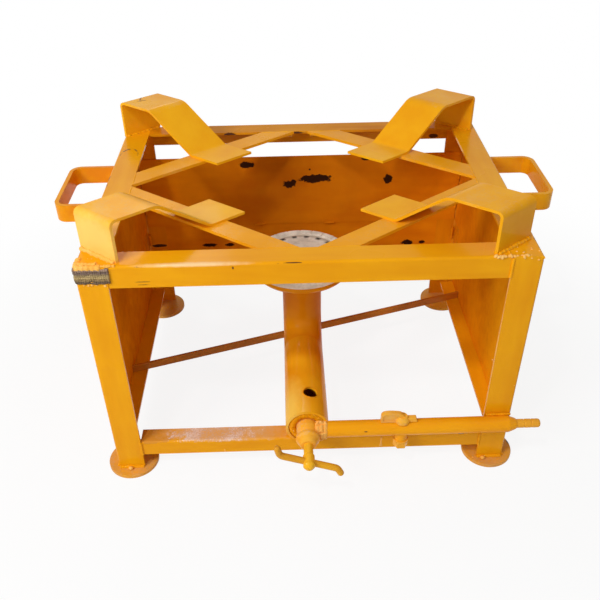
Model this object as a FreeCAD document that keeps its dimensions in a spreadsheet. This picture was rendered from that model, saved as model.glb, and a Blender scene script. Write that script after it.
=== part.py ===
import FreeCAD, Part
import math
import os
import Sketcher

# Propane burner stand. X runs to the right, Y away from the valve, Z up from the floor.
# The origin is on the floor under the middle of the whole outline.

doc = FreeCAD.newDocument("burner_stand")
sheet = doc.addObject("Spreadsheet::Sheet", "sizes")

SIZES = [
    ("stand_width", 450, "outside width of the frame"),
    ("stand_depth", 333, "outside depth of the frame"),
    ("frame_height", 284.5, "top face of the frame above the floor"),
    ("stand_shift", 26.25, "frame centre behind the middle of the whole outline"),
    ("disc_radius", 29, "foot disc"),
    ("disc_thick", 4, "foot disc"),
    ("leg_side", 30, "leg angle, both flanges"),
    ("leg_thick", 3, "leg angle"),
    ("top_flange", 30, "flat flange of the side top rails"),
    ("cross_flange", 26, "flat flange of the front and rear top rails"),
    ("top_drop", 25, "upright flange of the top rails"),
    ("top_thick", 3, "top rails"),
    ("root_round", 3, "inside corner of an angle"),
    ("edge_round", 2.8, "outside corner of an angle"),
    ("rail_recess", 1, "front and rear rails behind the legs' faces"),
    ("low_side", 20, "lower rail angle, both flanges"),
    ("low_thick", 3, "lower rail angle"),
    ("low_top", 43.5, "top of the lower rails above the floor"),
    ("brace_high", 10, "brace bar on edge"),
    ("brace_thick", 3, "brace bar"),
    ("brace_left", -44, "brace's left end, from the frame centre"),
    ("brace_right", 97, "brace's right end, from the frame centre"),
    ("bar_inner", 146, "grate bar's inner edge, where it would meet the centre line"),
    ("bar_outer", 176, "grate bar's outer edge, where it would meet the centre line"),
    ("bar_thick", 3.5, "grate bar"),
    ("reach_front_left", 254.5, "outer face of this pot support from the frame centre"),
    ("reach_front_right", 248, "outer face of this pot support from the frame centre"),
    ("reach_rear_left", 255.5, "outer face of this pot support from the frame centre"),
    ("reach_rear_right", 247.5, "outer face of this pot support from the frame centre"),
    ("back_front_left", 6, "this pot support further back on its corner"),
    ("back_front_right", 0, "this pot support further back on its corner"),
    ("back_rear_left", 0, "this pot support further back on its corner"),
    ("back_rear_right", 0, "this pot support further back on its corner"),
    ("strap_width", 49, "pot support, along its bend lines"),
    ("strap_thick", 3, "pot support"),
    ("strap_top", 330, "pot rests at this height above the floor"),
    ("flat_front_left", 50, "flat top of this pot support"),
    ("flat_front_right", 57, "flat top of this pot support"),
    ("flat_rear_left", 50, "flat top of this pot support"),
    ("flat_rear_right", 56, "flat top of this pot support"),
    ("slope_front_left", 57, "level length of this support's slope"),
    ("slope_front_right", 53.5, "level length of this support's slope"),
    ("slope_rear_left", 62, "level length of this support's slope"),
    ("slope_rear_right", 57, "level length of this support's slope"),
    ("strap_tab", 42, "flat tab on the grate bar"),
    ("shoulder_bend", 4, "inside radius where a pot support turns flat"),
    ("crest_bend", 18, "inside radius where it starts to slope"),
    ("landing_bend", 8, "inside radius where it meets the grate bar"),
    ("grip_rear", 62, "handle's rear face, from the frame centre"),
    ("grip_front", -35, "handle's front face, from the frame centre"),
    ("grip_reach", 52.25, "handle out from the frame"),
    ("grip_high", 20, "handle strap on edge"),
    ("grip_thick", 4.5, "handle strap"),
    ("grip_low", 259.5, "underside of the handles above the floor"),
    ("grip_round", 13, "outside radius of a handle's bends"),
    ("sheet_thick", 1.5, "wind shield sheet"),
    ("crease", 135, "lower edge of the upper shields above the floor"),
    ("lap", 12, "upper shields over the lower ones"),
    ("rear_shield_top", 239, "top of the rear shield above the floor"),
    ("rear_shield_low", 49, "bottom of the rear shield above the floor"),
    ("burner_shift", -4.5, "burner line, left of the frame centre"),
    ("tube_radius", 24.15, "mixing tube, elbow and riser, outside"),
    ("tube_bore", 21.15, "mixing tube, elbow and riser, inside"),
    ("tube_front", -173, "front rim of the mixing tube, from the frame centre"),
    ("elbow_bend", 40, "elbow, radius of its centre line"),
    ("air_radius", 8.25, "air hole"),
    ("air_place", -141, "air hole, from the frame centre"),
    ("air_tilt", 12, "air hole, degrees to the right of upright"),
    ("plate_face", -166, "front of the end plate, from the frame centre"),
    ("plate_thick", 3, "end plate"),
    ("riser_top", 162, "top of the riser above the floor"),
    ("pot_low", 156, "underside of the burner pot's hub above the floor"),
    ("pot_top", 178, "rim of the burner pot above the floor"),
    ("pot_radius", 60, "burner pot"),
    ("cap_radius", 62, "burner cap"),
    ("cap_rim", 184, "rim of the burner cap above the floor"),
    ("port_ring", 44, "ring of ports in the cap"),
    ("port_radius", 2, "port"),
    ("port_count", 18, "ports"),
    ("slot_count", 24, "slots across the cap's rim"),
    ("pipe_radius", 9.3, "gas pipe, outside"),
    ("pipe_bore", 6.3, "gas pipe, inside"),
    ("pipe_line", -175.8, "gas pipe's axis, from the frame centre"),
    ("pipe_drop", 0.5, "gas pipe's axis below the mixing tube's"),
    ("pipe_end", 229, "right end of the gas pipe"),
    ("jet_radius", 5.25, "gas jet's seat in the end plate"),
    ("barb_radius", 5, "hose barb, outside its two grooves"),
    ("barb_end", 256, "tip of the hose barb"),
    ("stem_radius", 5.2, "valve spindle"),
    ("stem_play", 0.05, "running clearance round the spindle and the plug"),
    ("stem_tip", -233, "front end of the spindle, from the frame centre"),
    ("tee_line", -223, "T-bar's axis, from the frame centre"),
    ("tee_radius", 3.75, "T-bar"),
    ("cock_place", 101, "plug cock, right of the frame centre"),
    ("plug_radius", 4.95, "plug"),
    ("way_radius", 3.4, "gas way at the plug"),
    ("cock_boss", 7.5, "plug cock's boss below the pipe"),
    ("wing_thick", 6, "cock handle's wings"),
]

for row, (alias, value, meaning) in enumerate(SIZES, 1):
    sheet.set(f"A{row}", meaning)
    sheet.set(f"B{row}", str(value))
    sheet.setAlias(f"B{row}", alias)
doc.recompute()

vector = FreeCAD.Vector
nodes = []


def size(alias):
    """One driving dimension, as a number."""
    return float(sheet.get(alias))


tube_axis = size("low_top") + size("tube_radius")
pipe_axis = tube_axis - size("pipe_drop")
TUBE_AXIS = "(sizes.low_top + sizes.tube_radius)"
PIPE_AXIS = "(sizes.low_top + sizes.tube_radius - sizes.pipe_drop)"


def place(item, x="0", y="0", z="0"):
    """Put an object at expressions measured from the frame's centre on the floor."""
    item.setExpression("Placement.Base.x", x)
    item.setExpression("Placement.Base.y", f"sizes.stand_shift + {y}")
    item.setExpression("Placement.Base.z", z)


def keep(item, label):
    """Name a finished piece."""
    item.Label = label
    nodes.append(item)
    return item


def new_body(name):
    return doc.addObject("PartDesign::Body", name + "_body")


def origin_part(body, role):
    return next(part for part in body.Origin.OriginFeatures if part.Role == role)


def flat_sketch(body, role, name):
    sketch = body.newObject("Sketcher::SketchObject", name)
    sketch.AttachmentSupport = [(origin_part(body, role), "")]
    sketch.MapMode = "FlatFace"
    return sketch


def outline(body, role, name, corners):
    """Closed outline of straight sides, each corner held by two dimensions from the origin."""
    sketch = flat_sketch(body, role, name)
    count = len(corners)
    turn = 2 * math.pi / count
    start = [vector(math.cos(turn * i), math.sin(turn * i), 0) * 100 for i in range(count)]
    for i in range(count):
        sketch.addGeometry(Part.LineSegment(start[i], start[(i + 1) % count]), False)
    for i in range(count):
        sketch.addConstraint(Sketcher.Constraint("Coincident", i, 2, (i + 1) % count, 1))
    for i, (across, up) in enumerate(corners):
        held = sketch.addConstraint(Sketcher.Constraint("DistanceX", -1, 1, i, 1, start[i].x))
        sketch.setExpression(f"Constraints[{held}]", str(across))
        held = sketch.addConstraint(Sketcher.Constraint("DistanceY", -1, 1, i, 1, start[i].y))
        sketch.setExpression(f"Constraints[{held}]", str(up))
    return sketch


def circle(body, role, name, radius, across="0", up="0"):
    """One circle held by its radius and its centre."""
    sketch = flat_sketch(body, role, name)
    sketch.addGeometry(Part.Circle(vector(1, 1, 0), vector(0, 0, 1), 5), False)
    for kind, start, expression in (("DistanceX", 1, across), ("DistanceY", 1, up)):
        held = sketch.addConstraint(Sketcher.Constraint(kind, -1, 1, 0, 3, start))
        sketch.setExpression(f"Constraints[{held}]", expression)
    held = sketch.addConstraint(Sketcher.Constraint("Radius", 0, 5))
    sketch.setExpression(f"Constraints[{held}]", radius)
    return sketch


def pad(body, sketch, name, length, both_ways=False, backwards=False):
    feature = body.newObject("PartDesign::Pad", name)
    feature.Profile = sketch
    feature.setExpression("Length", length)
    feature.Midplane = both_ways
    feature.Reversed = backwards
    return feature


def cut_through(body, sketch, name):
    feature = body.newObject("PartDesign::Pocket", name)
    feature.Profile = sketch
    feature.Type = 1
    feature.Midplane = True
    return feature


def revolve(body, sketch, name, axis):
    feature = body.newObject("PartDesign::Revolution", name)
    feature.Profile = sketch
    feature.ReferenceAxis = (sketch, [axis])
    feature.Angle = 360
    return feature


def round_edges(body, base, name, radius, chosen):
    """Round the edges whose middle point passes the test."""
    doc.recompute()
    edges = []
    for number, edge in enumerate(base.Shape.Edges, 1):
        middle = edge.valueAt((edge.FirstParameter + edge.LastParameter) / 2)
        if chosen(middle):
            edges.append(f"Edge{number}")
    feature = body.newObject("PartDesign::Fillet", name)
    feature.Base = (base, edges)
    feature.setExpression("Radius", radius)
    return feature


def near(value, target):
    return abs(value - target) < 0.01


def angle_iron(name, role, way, flanges, thick, length, both_ways=True):
    """Angle iron whose outside corner runs through the body's origin.

    way gives the signs of the two flanges along the sketch's axes."""
    body = new_body(name)
    across, up = way
    wide, high = flanges
    corners = [
        ("0", "0"),
        (f"{across} * {wide}", "0"),
        (f"{across} * {wide}", f"{up} * {thick}"),
        (f"{across} * {thick}", f"{up} * {thick}"),
        (f"{across} * {thick}", f"{up} * {high}"),
        ("0", f"{up} * {high}"),
    ]
    bar = pad(body, outline(body, role, name + "_section", corners), name + "_bar", length, both_ways)
    wall = size(thick.replace("sizes.", ""))
    first, second = {"XY_Plane": "xy", "XZ_Plane": "xz", "YZ_Plane": "yz"}[role]

    def at_corner(offset):
        return lambda point: (near(getattr(point, first), across * offset)
                              and near(getattr(point, second), up * offset))

    rooted = round_edges(body, bar, name + "_root", "sizes.root_round", at_corner(wall))
    return body, round_edges(body, rooted, name + "_edge", "sizes.edge_round", at_corner(0))


# Legs: angle iron with the corner outwards, each standing on a round disc.
SIDES = {"left": -1, "right": 1}
ENDS = {"front": -1, "rear": 1}
LEG_LENGTH = "sizes.frame_height - sizes.top_thick - sizes.disc_thick"
for end, fore in ENDS.items():
    for side, hand in SIDES.items():
        name = f"leg_{end}_{side}"
        flanges = ("sizes.leg_side", "sizes.leg_side")
        body, _ = angle_iron(name, "XY_Plane", (-hand, -fore), flanges, "sizes.leg_thick",
                             LEG_LENGTH, both_ways=False)
        place(body, f"{hand} * sizes.stand_width / 2", f"{fore} * sizes.stand_depth / 2",
              "sizes.disc_thick")
        keep(body, name)

        name = f"foot_{end}_{side}"
        body = new_body(name)
        disc = pad(body, circle(body, "XY_Plane", name + "_circle", "sizes.disc_radius"),
                   name + "_disc", "sizes.disc_thick")
        round_edges(body, disc, name + "_edge", "sizes.disc_thick / 4",
                    lambda point: near(point.z, size("disc_thick")))
        place(body, f"{hand} * (sizes.stand_width - sizes.leg_side) / 2",
              f"{fore} * (sizes.stand_depth - sizes.leg_side) / 2", "0")
        keep(body, name)

# Top rails: angle iron with the flat flange up. The side rails lie over the legs, and their
# upright flanges are cut back there so that they stand between the legs' flanges.
TOP_FLANGES = ("sizes.top_flange", "sizes.top_drop")
CROSS_FLANGES = ("sizes.cross_flange", "sizes.top_drop")
for side, hand in SIDES.items():
    name = f"top_rail_{side}"
    body, _ = angle_iron(name, "XZ_Plane", (-hand, -1), TOP_FLANGES, "sizes.top_thick",
                         "sizes.stand_depth")
    for end, fore in ENDS.items():
        inner = f"{fore} * (sizes.stand_depth / 2 - sizes.leg_side)"
        outer = f"{fore} * (sizes.stand_depth / 2 + 1)"
        cope = outline(body, "YZ_Plane", f"{name}_cope_{end}", [
            (inner, "-sizes.top_thick"), (outer, "-sizes.top_thick"),
            (outer, "-sizes.top_drop - 1"), (inner, "-sizes.top_drop - 1")])
        cut_through(body, cope, f"{name}_notch_{end}")
    place(body, f"{hand} * sizes.stand_width / 2", "0", "sizes.frame_height")
    keep(body, name)

for end, fore in ENDS.items():
    name = f"top_rail_{end}"
    body, _ = angle_iron(name, "YZ_Plane", (-fore, -1), CROSS_FLANGES, "sizes.top_thick",
                         "sizes.stand_width - 2 * sizes.top_flange")
    place(body, "0", f"{fore} * (sizes.stand_depth / 2 - sizes.rail_recess)", "sizes.frame_height")
    keep(body, name)

# Lower rails: smaller angle iron between the legs at the front and the sides.
LOW_FLANGES = ("sizes.low_side", "sizes.low_side")
body, _ = angle_iron("low_rail_front", "YZ_Plane", (1, -1), LOW_FLANGES, "sizes.low_thick",
                     "sizes.stand_width - 2 * sizes.leg_side")
place(body, "0", "-sizes.stand_depth / 2 + sizes.rail_recess", "sizes.low_top")
keep(body, "low_rail_front")
for side, hand in SIDES.items():
    name = f"low_rail_{side}"
    body, _ = angle_iron(name, "XZ_Plane", (-hand, -1), LOW_FLANGES, "sizes.low_thick",
                         "sizes.stand_depth - 2 * sizes.leg_side")
    place(body, f"{hand} * (sizes.stand_width / 2 - sizes.rail_recess)", "0", "sizes.low_top")
    keep(body, name)

# Brace: a flat bar on edge, askew across the lower side rails.
body = new_body("brace_bar")
inside = "(sizes.stand_width / 2 - sizes.leg_thick)"
half = "sizes.brace_thick / 2"
brace = outline(body, "XY_Plane", "brace_plan", [
    (f"-{inside}", f"sizes.brace_left - {half}"), (inside, f"sizes.brace_right - {half}"),
    (inside, f"sizes.brace_right + {half}"), (f"-{inside}", f"sizes.brace_left + {half}")])
pad(body, brace, "brace_pad", "sizes.brace_high")
place(body, "0", "0", "sizes.low_top")
keep(body, "brace_bar")

# Grate bars: a diamond of flat bars let in flush between the top rails.
RAIL_X = "(sizes.stand_width / 2 - sizes.top_flange)"
RAIL_Y = "(sizes.stand_depth / 2 - sizes.rail_recess - sizes.cross_flange)"
for end, fore in ENDS.items():
    for side, hand in SIDES.items():
        name = f"grate_bar_{end}_{side}"
        body = new_body(name)
        plan = outline(body, "XY_Plane", name + "_plan", [
            (f"{hand} * {RAIL_X}",
             f"{fore} * (sizes.bar_inner - {RAIL_X} * sizes.stand_depth / sizes.stand_width)"),
            (f"{hand} * {RAIL_X}",
             f"{fore} * (sizes.bar_outer - {RAIL_X} * sizes.stand_depth / sizes.stand_width)"),
            (f"{hand} * (sizes.bar_outer - {RAIL_Y}) * sizes.stand_width / sizes.stand_depth",
             f"{fore} * {RAIL_Y}"),
            (f"{hand} * (sizes.bar_inner - {RAIL_Y}) * sizes.stand_width / sizes.stand_depth",
             f"{fore} * {RAIL_Y}")])
        pad(body, plan, name + "_pad", "sizes.bar_thick")
        place(body, "0", "0", "sizes.frame_height - sizes.bar_thick")
        keep(body, name)


def rounded_wire(points, radii, closed):
    """Straight runs joined by tangent arcs; a radius of 0 keeps the corner sharp."""
    count = len(points)
    starts, arcs = [], []
    for i, point in enumerate(points):
        radius = radii[i]
        if radius <= 0 or (not closed and i in (0, count - 1)):
            starts.append((point, point))
            arcs.append(None)
            continue
        back = (points[i - 1] - point).normalize()
        ahead = (points[(i + 1) % count] - point).normalize()
        half = back.getAngle(ahead) / 2
        reach = radius / math.tan(half)
        middle = (back + ahead).normalize() * (radius / math.sin(half) - radius)
        starts.append((point + back * reach, point + ahead * reach))
        arcs.append(Part.Arc(point + back * reach, point + middle, point + ahead * reach))
    edges = []
    for i in range(count):
        if arcs[i]:
            edges.append(arcs[i].toShape())
        if i < count - 1 or closed:
            edges.append(Part.LineSegment(starts[i][1], starts[(i + 1) % count][0]).toShape())
    return Part.Wire(edges)


def strap_outline(line, thick, bends):
    """Side view of a strap bent along line, in the XZ plane, line being its lower or inner face.

    bends gives each corner's inside radius, 0 at the two ends."""
    normals = []
    for first, second in zip(line, line[1:]):
        along = (second - first).normalize()
        normals.append(vector(-along.z, 0, along.x))
    outer, radii_in, radii_out = [], [], []
    for i, point in enumerate(line):
        before = normals[max(i - 1, 0)]
        after = normals[min(i, len(normals) - 1)]
        outer.append(point + (before + after) * (thick / (1 + before.dot(after))))
        turn = before.cross(after).y
        grown = bends[i] + thick if bends[i] else 0
        radii_in.append(bends[i] if turn > 0 else grown)
        radii_out.append(grown if turn > 0 else bends[i])
    return rounded_wire(line + outer[::-1], radii_in + radii_out[::-1], True)


def stored_shape(label, shape):
    """A piece whose shape is worked out here, then moved with the frame."""
    item = doc.addObject("Part::Feature", label + "_shape")
    item.Shape = shape
    place(item)
    return keep(item, label)


# Pot supports: each strap stands on the frame's corner, runs flat, slopes down towards the
# middle and ends in a tab on the grate bar. Bent by hand, no two are quite alike. Its bends run
# parallel to that bar, so in the strap's own view, with X outwards along the diagonal, they lie
# at twice the diagonal's angle.
across_corner = math.atan2(size("stand_depth"), size("stand_width"))
for end, fore in ENDS.items():
    for side, hand in SIDES.items():
        width = vector(math.cos(2 * across_corner), -hand * fore * math.sin(2 * across_corner), 0)
        width *= size("strap_width")
        reach = size(f"reach_{end}_{side}")
        foot = vector(reach - size("strap_thick"), 0, size("frame_height")) - width / 2
        shoulder = vector(foot.x, foot.y, size("strap_top") - size("strap_thick"))
        crest = shoulder - vector(size(f"flat_{end}_{side}") - size("strap_thick"), 0, 0)
        landing = vector(crest.x - size(f"slope_{end}_{side}"), foot.y, foot.z)
        tip = landing - vector(size("strap_tab"), 0, 0)
        bends = [0, size("landing_bend"), size("crest_bend"), size("shoulder_bend"), 0]
        side_view = strap_outline([tip, landing, crest, shoulder, foot],
                                  size("strap_thick"), bends)
        heading = math.degrees(math.atan2(fore * math.sin(across_corner),
                                          hand * math.cos(across_corner)))
        strap = stored_shape(f"pot_support_{end}_{side}", Part.Face(side_view).extrude(width))
        place(strap, y=f"sizes.back_{end}_{side}")
        strap.Placement.Rotation = FreeCAD.Rotation(vector(0, 0, 1), heading)

# Carrying handles: flat strap on edge, bent to a U and welded to the side rails.
for side, hand in SIDES.items():
    name = f"carry_handle_{side}"
    body = new_body(name)
    out = f"{hand} * sizes.grip_reach"
    back = f"{hand} * (sizes.grip_reach - sizes.grip_thick)"
    plan = outline(body, "XY_Plane", name + "_plan", [
        ("0", "sizes.grip_front"), (out, "sizes.grip_front"), (out, "sizes.grip_rear"),
        ("0", "sizes.grip_rear"), ("0", "sizes.grip_rear - sizes.grip_thick"),
        (back, "sizes.grip_rear - sizes.grip_thick"),
        (back, "sizes.grip_front + sizes.grip_thick"),
        ("0", "sizes.grip_front + sizes.grip_thick")])
    strap = pad(body, plan, name + "_strap", "sizes.grip_high")
    mid_height = size("grip_high") / 2
    bent = round_edges(body, strap, name + "_outside", "sizes.grip_round",
                       lambda point: near(point.z, mid_height)
                       and near(abs(point.x), size("grip_reach")))
    round_edges(body, bent, name + "_inside", "sizes.grip_round - sizes.grip_thick",
                lambda point: near(point.z, mid_height)
                and near(abs(point.x), size("grip_reach") - size("grip_thick")))
    place(body, f"{hand} * sizes.stand_width / 2", "0", "sizes.grip_low")
    keep(body, name)

# Wind shields: an upper and a lower sheet on three sides. The upper ones lie against the
# insides of the legs, and the lower ones stand between the legs behind them.
BEHIND = "(sizes.leg_thick + sizes.root_round)"
REAR_HALF = f"(sizes.stand_width / 2 - {BEHIND})"
SIDE_HALF = f"(sizes.stand_depth / 2 - {BEHIND})"


def shield(name, role, half_length, low, top, x, y, backwards):
    """Flat sheet standing on edge."""
    body = new_body(name)
    plan = outline(body, role, name + "_outline", [
        (f"-{half_length}", low), (half_length, low), (half_length, top), (f"-{half_length}", top)])
    pad(body, plan, name + "_sheet", "sizes.sheet_thick", backwards=backwards)
    place(body, x, y, "0")
    keep(body, name)


shield("shield_rear_upper", "XZ_Plane", REAR_HALF, "sizes.crease", "sizes.rear_shield_top",
       "0", "sizes.stand_depth / 2 - sizes.leg_thick", False)
shield("shield_rear_lower", "XZ_Plane", "(sizes.stand_width / 2 - sizes.leg_side)",
       "sizes.rear_shield_low", "sizes.crease + sizes.lap",
       "0", "sizes.stand_depth / 2 - sizes.leg_thick", True)
for side, hand in SIDES.items():
    shield(f"shield_{side}_upper", "YZ_Plane", SIDE_HALF, "sizes.crease",
           f"sizes.frame_height - {BEHIND}",
           f"{hand} * (sizes.stand_width / 2 - sizes.leg_thick)", "0", hand > 0)
    shield(f"shield_{side}_lower", "YZ_Plane", "(sizes.stand_depth / 2 - sizes.leg_side)",
           "sizes.low_top", "sizes.crease + sizes.lap",
           f"{hand} * (sizes.stand_width / 2 - sizes.leg_thick)", "0", hand < 0)


def rod(name, radius, length, x, y, z, axis=(0, 0, 1), turn=0.0):
    """Round bar from a point measured from the frame's centre."""
    item = doc.addObject("Part::Cylinder", name)
    item.setExpression("Radius", radius)
    item.setExpression("Height", length)
    item.Placement = FreeCAD.Placement(vector(0, 0, 0), FreeCAD.Rotation(vector(*axis), turn))
    place(item, x, y, z)
    return item


def fused(name, items):
    item = doc.addObject("Part::MultiFuse", name)
    item.Shapes = items
    return item


def cut(name, base, tool):
    item = doc.addObject("Part::Cut", name)
    item.Base = base
    item.Tool = tool
    return item


# Mixing tube: lies on the front lower rail with its front rim a little over the edge. The rim
# is notched on the right for the gas pipe, and the air hole is in its upper side.
TUBE_X = "sizes.burner_shift"
TUBE_LENGTH = "-sizes.tube_front - sizes.elbow_bend"
tube_outside = rod("tube_outside", "sizes.tube_radius", TUBE_LENGTH, TUBE_X,
                   "sizes.tube_front", TUBE_AXIS, (1, 0, 0), -90)
tube_inside = rod("tube_inside", "sizes.tube_bore", TUBE_LENGTH, TUBE_X,
                  "sizes.tube_front", TUBE_AXIS, (1, 0, 0), -90)
pipe_notch = rod("pipe_notch", "sizes.pipe_radius", "2 * sizes.tube_radius", TUBE_X,
                 "sizes.pipe_line", PIPE_AXIS, (0, 1, 0), 90)
air_hole = rod("air_hole", "sizes.air_radius", "2 * sizes.tube_radius", TUBE_X,
               "sizes.air_place", TUBE_AXIS, (0, 1, 0), size("air_tilt"))
openings = fused("tube_openings", [tube_inside, pipe_notch, air_hole])
keep(cut("mixing_tube_cut", tube_outside, openings), "mixing_tube")


def quarter_bend(name, radius):
    item = doc.addObject("Part::Torus", name)
    item.setExpression("Radius1", "sizes.elbow_bend")
    item.setExpression("Radius2", radius)
    item.Angle3 = 90
    item.Placement = FreeCAD.Placement(vector(0, 0, 0), FreeCAD.Rotation(vector(0, 1, 0), 90))
    place(item, TUBE_X, "-sizes.elbow_bend", f"{TUBE_AXIS} + sizes.elbow_bend")
    return item


# Elbow and riser: turns the mixing tube up into the burner pot.
RISER_LENGTH = f"sizes.riser_top - {TUBE_AXIS} - sizes.elbow_bend"
RISER_FOOT = f"{TUBE_AXIS} + sizes.elbow_bend"
elbow_parts = {}
for wall, radius in (("outside", "sizes.tube_radius"), ("inside", "sizes.tube_bore")):
    riser = rod(f"riser_{wall}", radius, RISER_LENGTH, TUBE_X, "0", RISER_FOOT)
    elbow_parts[wall] = fused(f"elbow_{wall}", [quarter_bend(f"bend_{wall}", radius), riser])
keep(cut("burner_elbow_cut", elbow_parts["outside"], elbow_parts["inside"]), "burner_elbow")

# End plate: closes the mixing tube behind its rim and carries the valve and the jet.
body = new_body("end_plate")
plate = pad(body, circle(body, "XZ_Plane", "plate_circle", "sizes.tube_bore"), "plate_disc",
            "sizes.plate_thick", backwards=True)
cut_through(body, circle(body, "XZ_Plane", "jet_hole", "sizes.jet_radius"), "jet_seat")
place(body, TUBE_X, "sizes.plate_face", TUBE_AXIS)
keep(body, "end_plate")


def turned(name, role, axis, corners, x, y, z):
    """Piece turned about its own axis from one side of its outline."""
    body = new_body(name)
    feature = revolve(body, outline(body, role, name + "_outline", corners), name + "_turned", axis)
    place(body, x, y, z)
    keep(body, name)
    return body, feature


# Gas jet: sits in the end plate and blows into the mixing tube through a fine bore.
turned("gas_jet", "YZ_Plane", "H_Axis", [
    ("0", "1"), ("0", "sizes.jet_radius"), ("sizes.plate_thick", "sizes.jet_radius"),
    ("sizes.plate_thick", "4.4"), ("14", "4.4"), ("17", "2.4"), ("17", "0.6"), ("12", "0.6"),
    ("11", "1")], TUBE_X, "sizes.plate_face", TUBE_AXIS)

# Burner pot: shallow round casting whose hub sits on the riser.
turned("burner_pot", "XZ_Plane", "V_Axis", [
    ("sizes.tube_radius", "sizes.pot_low"), ("sizes.tube_radius + 6", "sizes.pot_low"),
    ("sizes.tube_radius + 7", "sizes.pot_low + 6"), ("sizes.pot_radius - 2", "sizes.pot_low + 13"),
    ("sizes.pot_radius", "sizes.pot_low + 16"), ("sizes.pot_radius", "sizes.pot_top"),
    ("sizes.pot_radius - 5", "sizes.pot_top"), ("sizes.pot_radius - 5", "sizes.pot_low + 17"),
    ("sizes.tube_radius + 4", "sizes.pot_low + 10"), ("sizes.tube_bore", "sizes.pot_low + 8"),
    ("sizes.tube_bore", "sizes.riser_top"), ("sizes.tube_radius", "sizes.riser_top")],
    TUBE_X, "0", "0")

# Burner cap: loose lid with a raised rim, a groove, a domed middle, a ring of ports and slots
# across the rim. A lip underneath keeps it centred in the pot.
cap, cap_turned = turned("burner_cap", "XZ_Plane", "V_Axis", [
    ("0", "sizes.cap_rim - 4"), ("sizes.pot_radius - 10", "sizes.cap_rim - 5"),
    ("sizes.pot_radius - 10", "sizes.pot_top - 3.5"), ("sizes.pot_radius - 5.5", "sizes.pot_top - 3.5"),
    ("sizes.pot_radius - 5.5", "sizes.pot_top"), ("sizes.cap_radius", "sizes.pot_top"),
    ("sizes.cap_radius", "sizes.cap_rim - 1.5"), ("sizes.cap_radius - 1.5", "sizes.cap_rim"),
    ("sizes.cap_radius - 8", "sizes.cap_rim"), ("sizes.cap_radius - 9.5", "sizes.cap_rim - 2"),
    ("sizes.cap_radius - 14", "sizes.cap_rim - 2"), ("sizes.cap_radius - 15", "sizes.cap_rim"),
    ("sizes.cap_radius - 22", "sizes.cap_rim + 0.8"), ("sizes.cap_radius - 40", "sizes.cap_rim + 2.4"),
    ("0", "sizes.cap_rim + 3")], TUBE_X, "0", "0")


def ring_of(body, base, name, count):
    """Repeat a cut round the upright axis."""
    pattern = body.newObject("PartDesign::PolarPattern", name)
    pattern.Originals = [base]
    pattern.Axis = (origin_part(body, "Z_Axis"), [""])
    pattern.Angle = 360
    pattern.setExpression("Occurrences", count)
    body.Tip = pattern
    return pattern


port = cut_through(cap, circle(cap, "XY_Plane", "port_circle", "sizes.port_radius",
                               "sizes.port_ring"), "port")
ring_of(cap, port, "ports", "sizes.port_count")
doc.recompute()
slot_sketch = outline(cap, "YZ_Plane", "slot_section", [
    ("-0.9", "sizes.cap_rim - 1.2"), ("0.9", "sizes.cap_rim - 1.2"),
    ("0.9", "sizes.cap_rim + 1"), ("-0.9", "sizes.cap_rim + 1")])
slot_sketch.AttachmentOffset = FreeCAD.Placement(vector(0, 0, size("cap_radius") - 9),
                                                 FreeCAD.Rotation())
slot = cap.newObject("PartDesign::Pocket", "slot")
slot.Profile = slot_sketch
slot.Length = 12
slot.Reversed = True
ring_of(cap, slot, "slots", "sizes.slot_count")

# Needle valve body: rounded casting welded to the end plate, with the seat for the needle, the
# way to the jet behind it, and the gas way from the right.
VALVE_Y = "sizes.pipe_line"
valve, _ = turned("valve_body", "YZ_Plane", "H_Axis", [
    ("9.8", "0"), ("9.8", "8.5"), ("7", "10.5"), ("3.5", "12.2"), ("-2", "12.2"), ("-6", "10.6"),
    ("-8.5", "9"), ("-10.2", "9"), ("-10.2", "0")], TUBE_X, VALVE_Y, TUBE_AXIS)
pad(valve, circle(valve, "YZ_Plane", "inlet_circle", "sizes.pipe_radius", "0",
                  "-sizes.pipe_drop"), "inlet_boss", "15")
stem_way = valve.newObject("PartDesign::Groove", "stem_bore_and_seat")
stem_way.Profile = outline(valve, "YZ_Plane", "stem_way_outline", [
    ("11", "0"), ("11", "1"), ("4.5", "1"), ("1.5", "sizes.stem_radius + sizes.stem_play"),
    ("-12", "sizes.stem_radius + sizes.stem_play"), ("-12", "0")])
stem_way.ReferenceAxis = (stem_way.Profile[0], ["H_Axis"])
stem_way.Angle = 360
doc.recompute()
gas_way = valve.newObject("PartDesign::Pocket", "inlet_bore")
gas_way.Profile = circle(valve, "YZ_Plane", "inlet_bore_circle", "3", "0", "0")
gas_way.Length = 40
gas_way.Reversed = True

# Packing nut: cup round the spindle in front of the valve body.
turned("packing_nut", "YZ_Plane", "H_Axis", [
    ("0", "sizes.stem_radius + sizes.stem_play"), ("0", "11"), ("-2", "13"), ("-5.5", "13"),
    ("-8", "11.2"), ("-13", "9"), ("-14.5", "7.6"),
    ("-14.5", "sizes.stem_radius + sizes.stem_play")], TUBE_X, f"{VALVE_Y} - 10.2", TUBE_AXIS)

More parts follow.
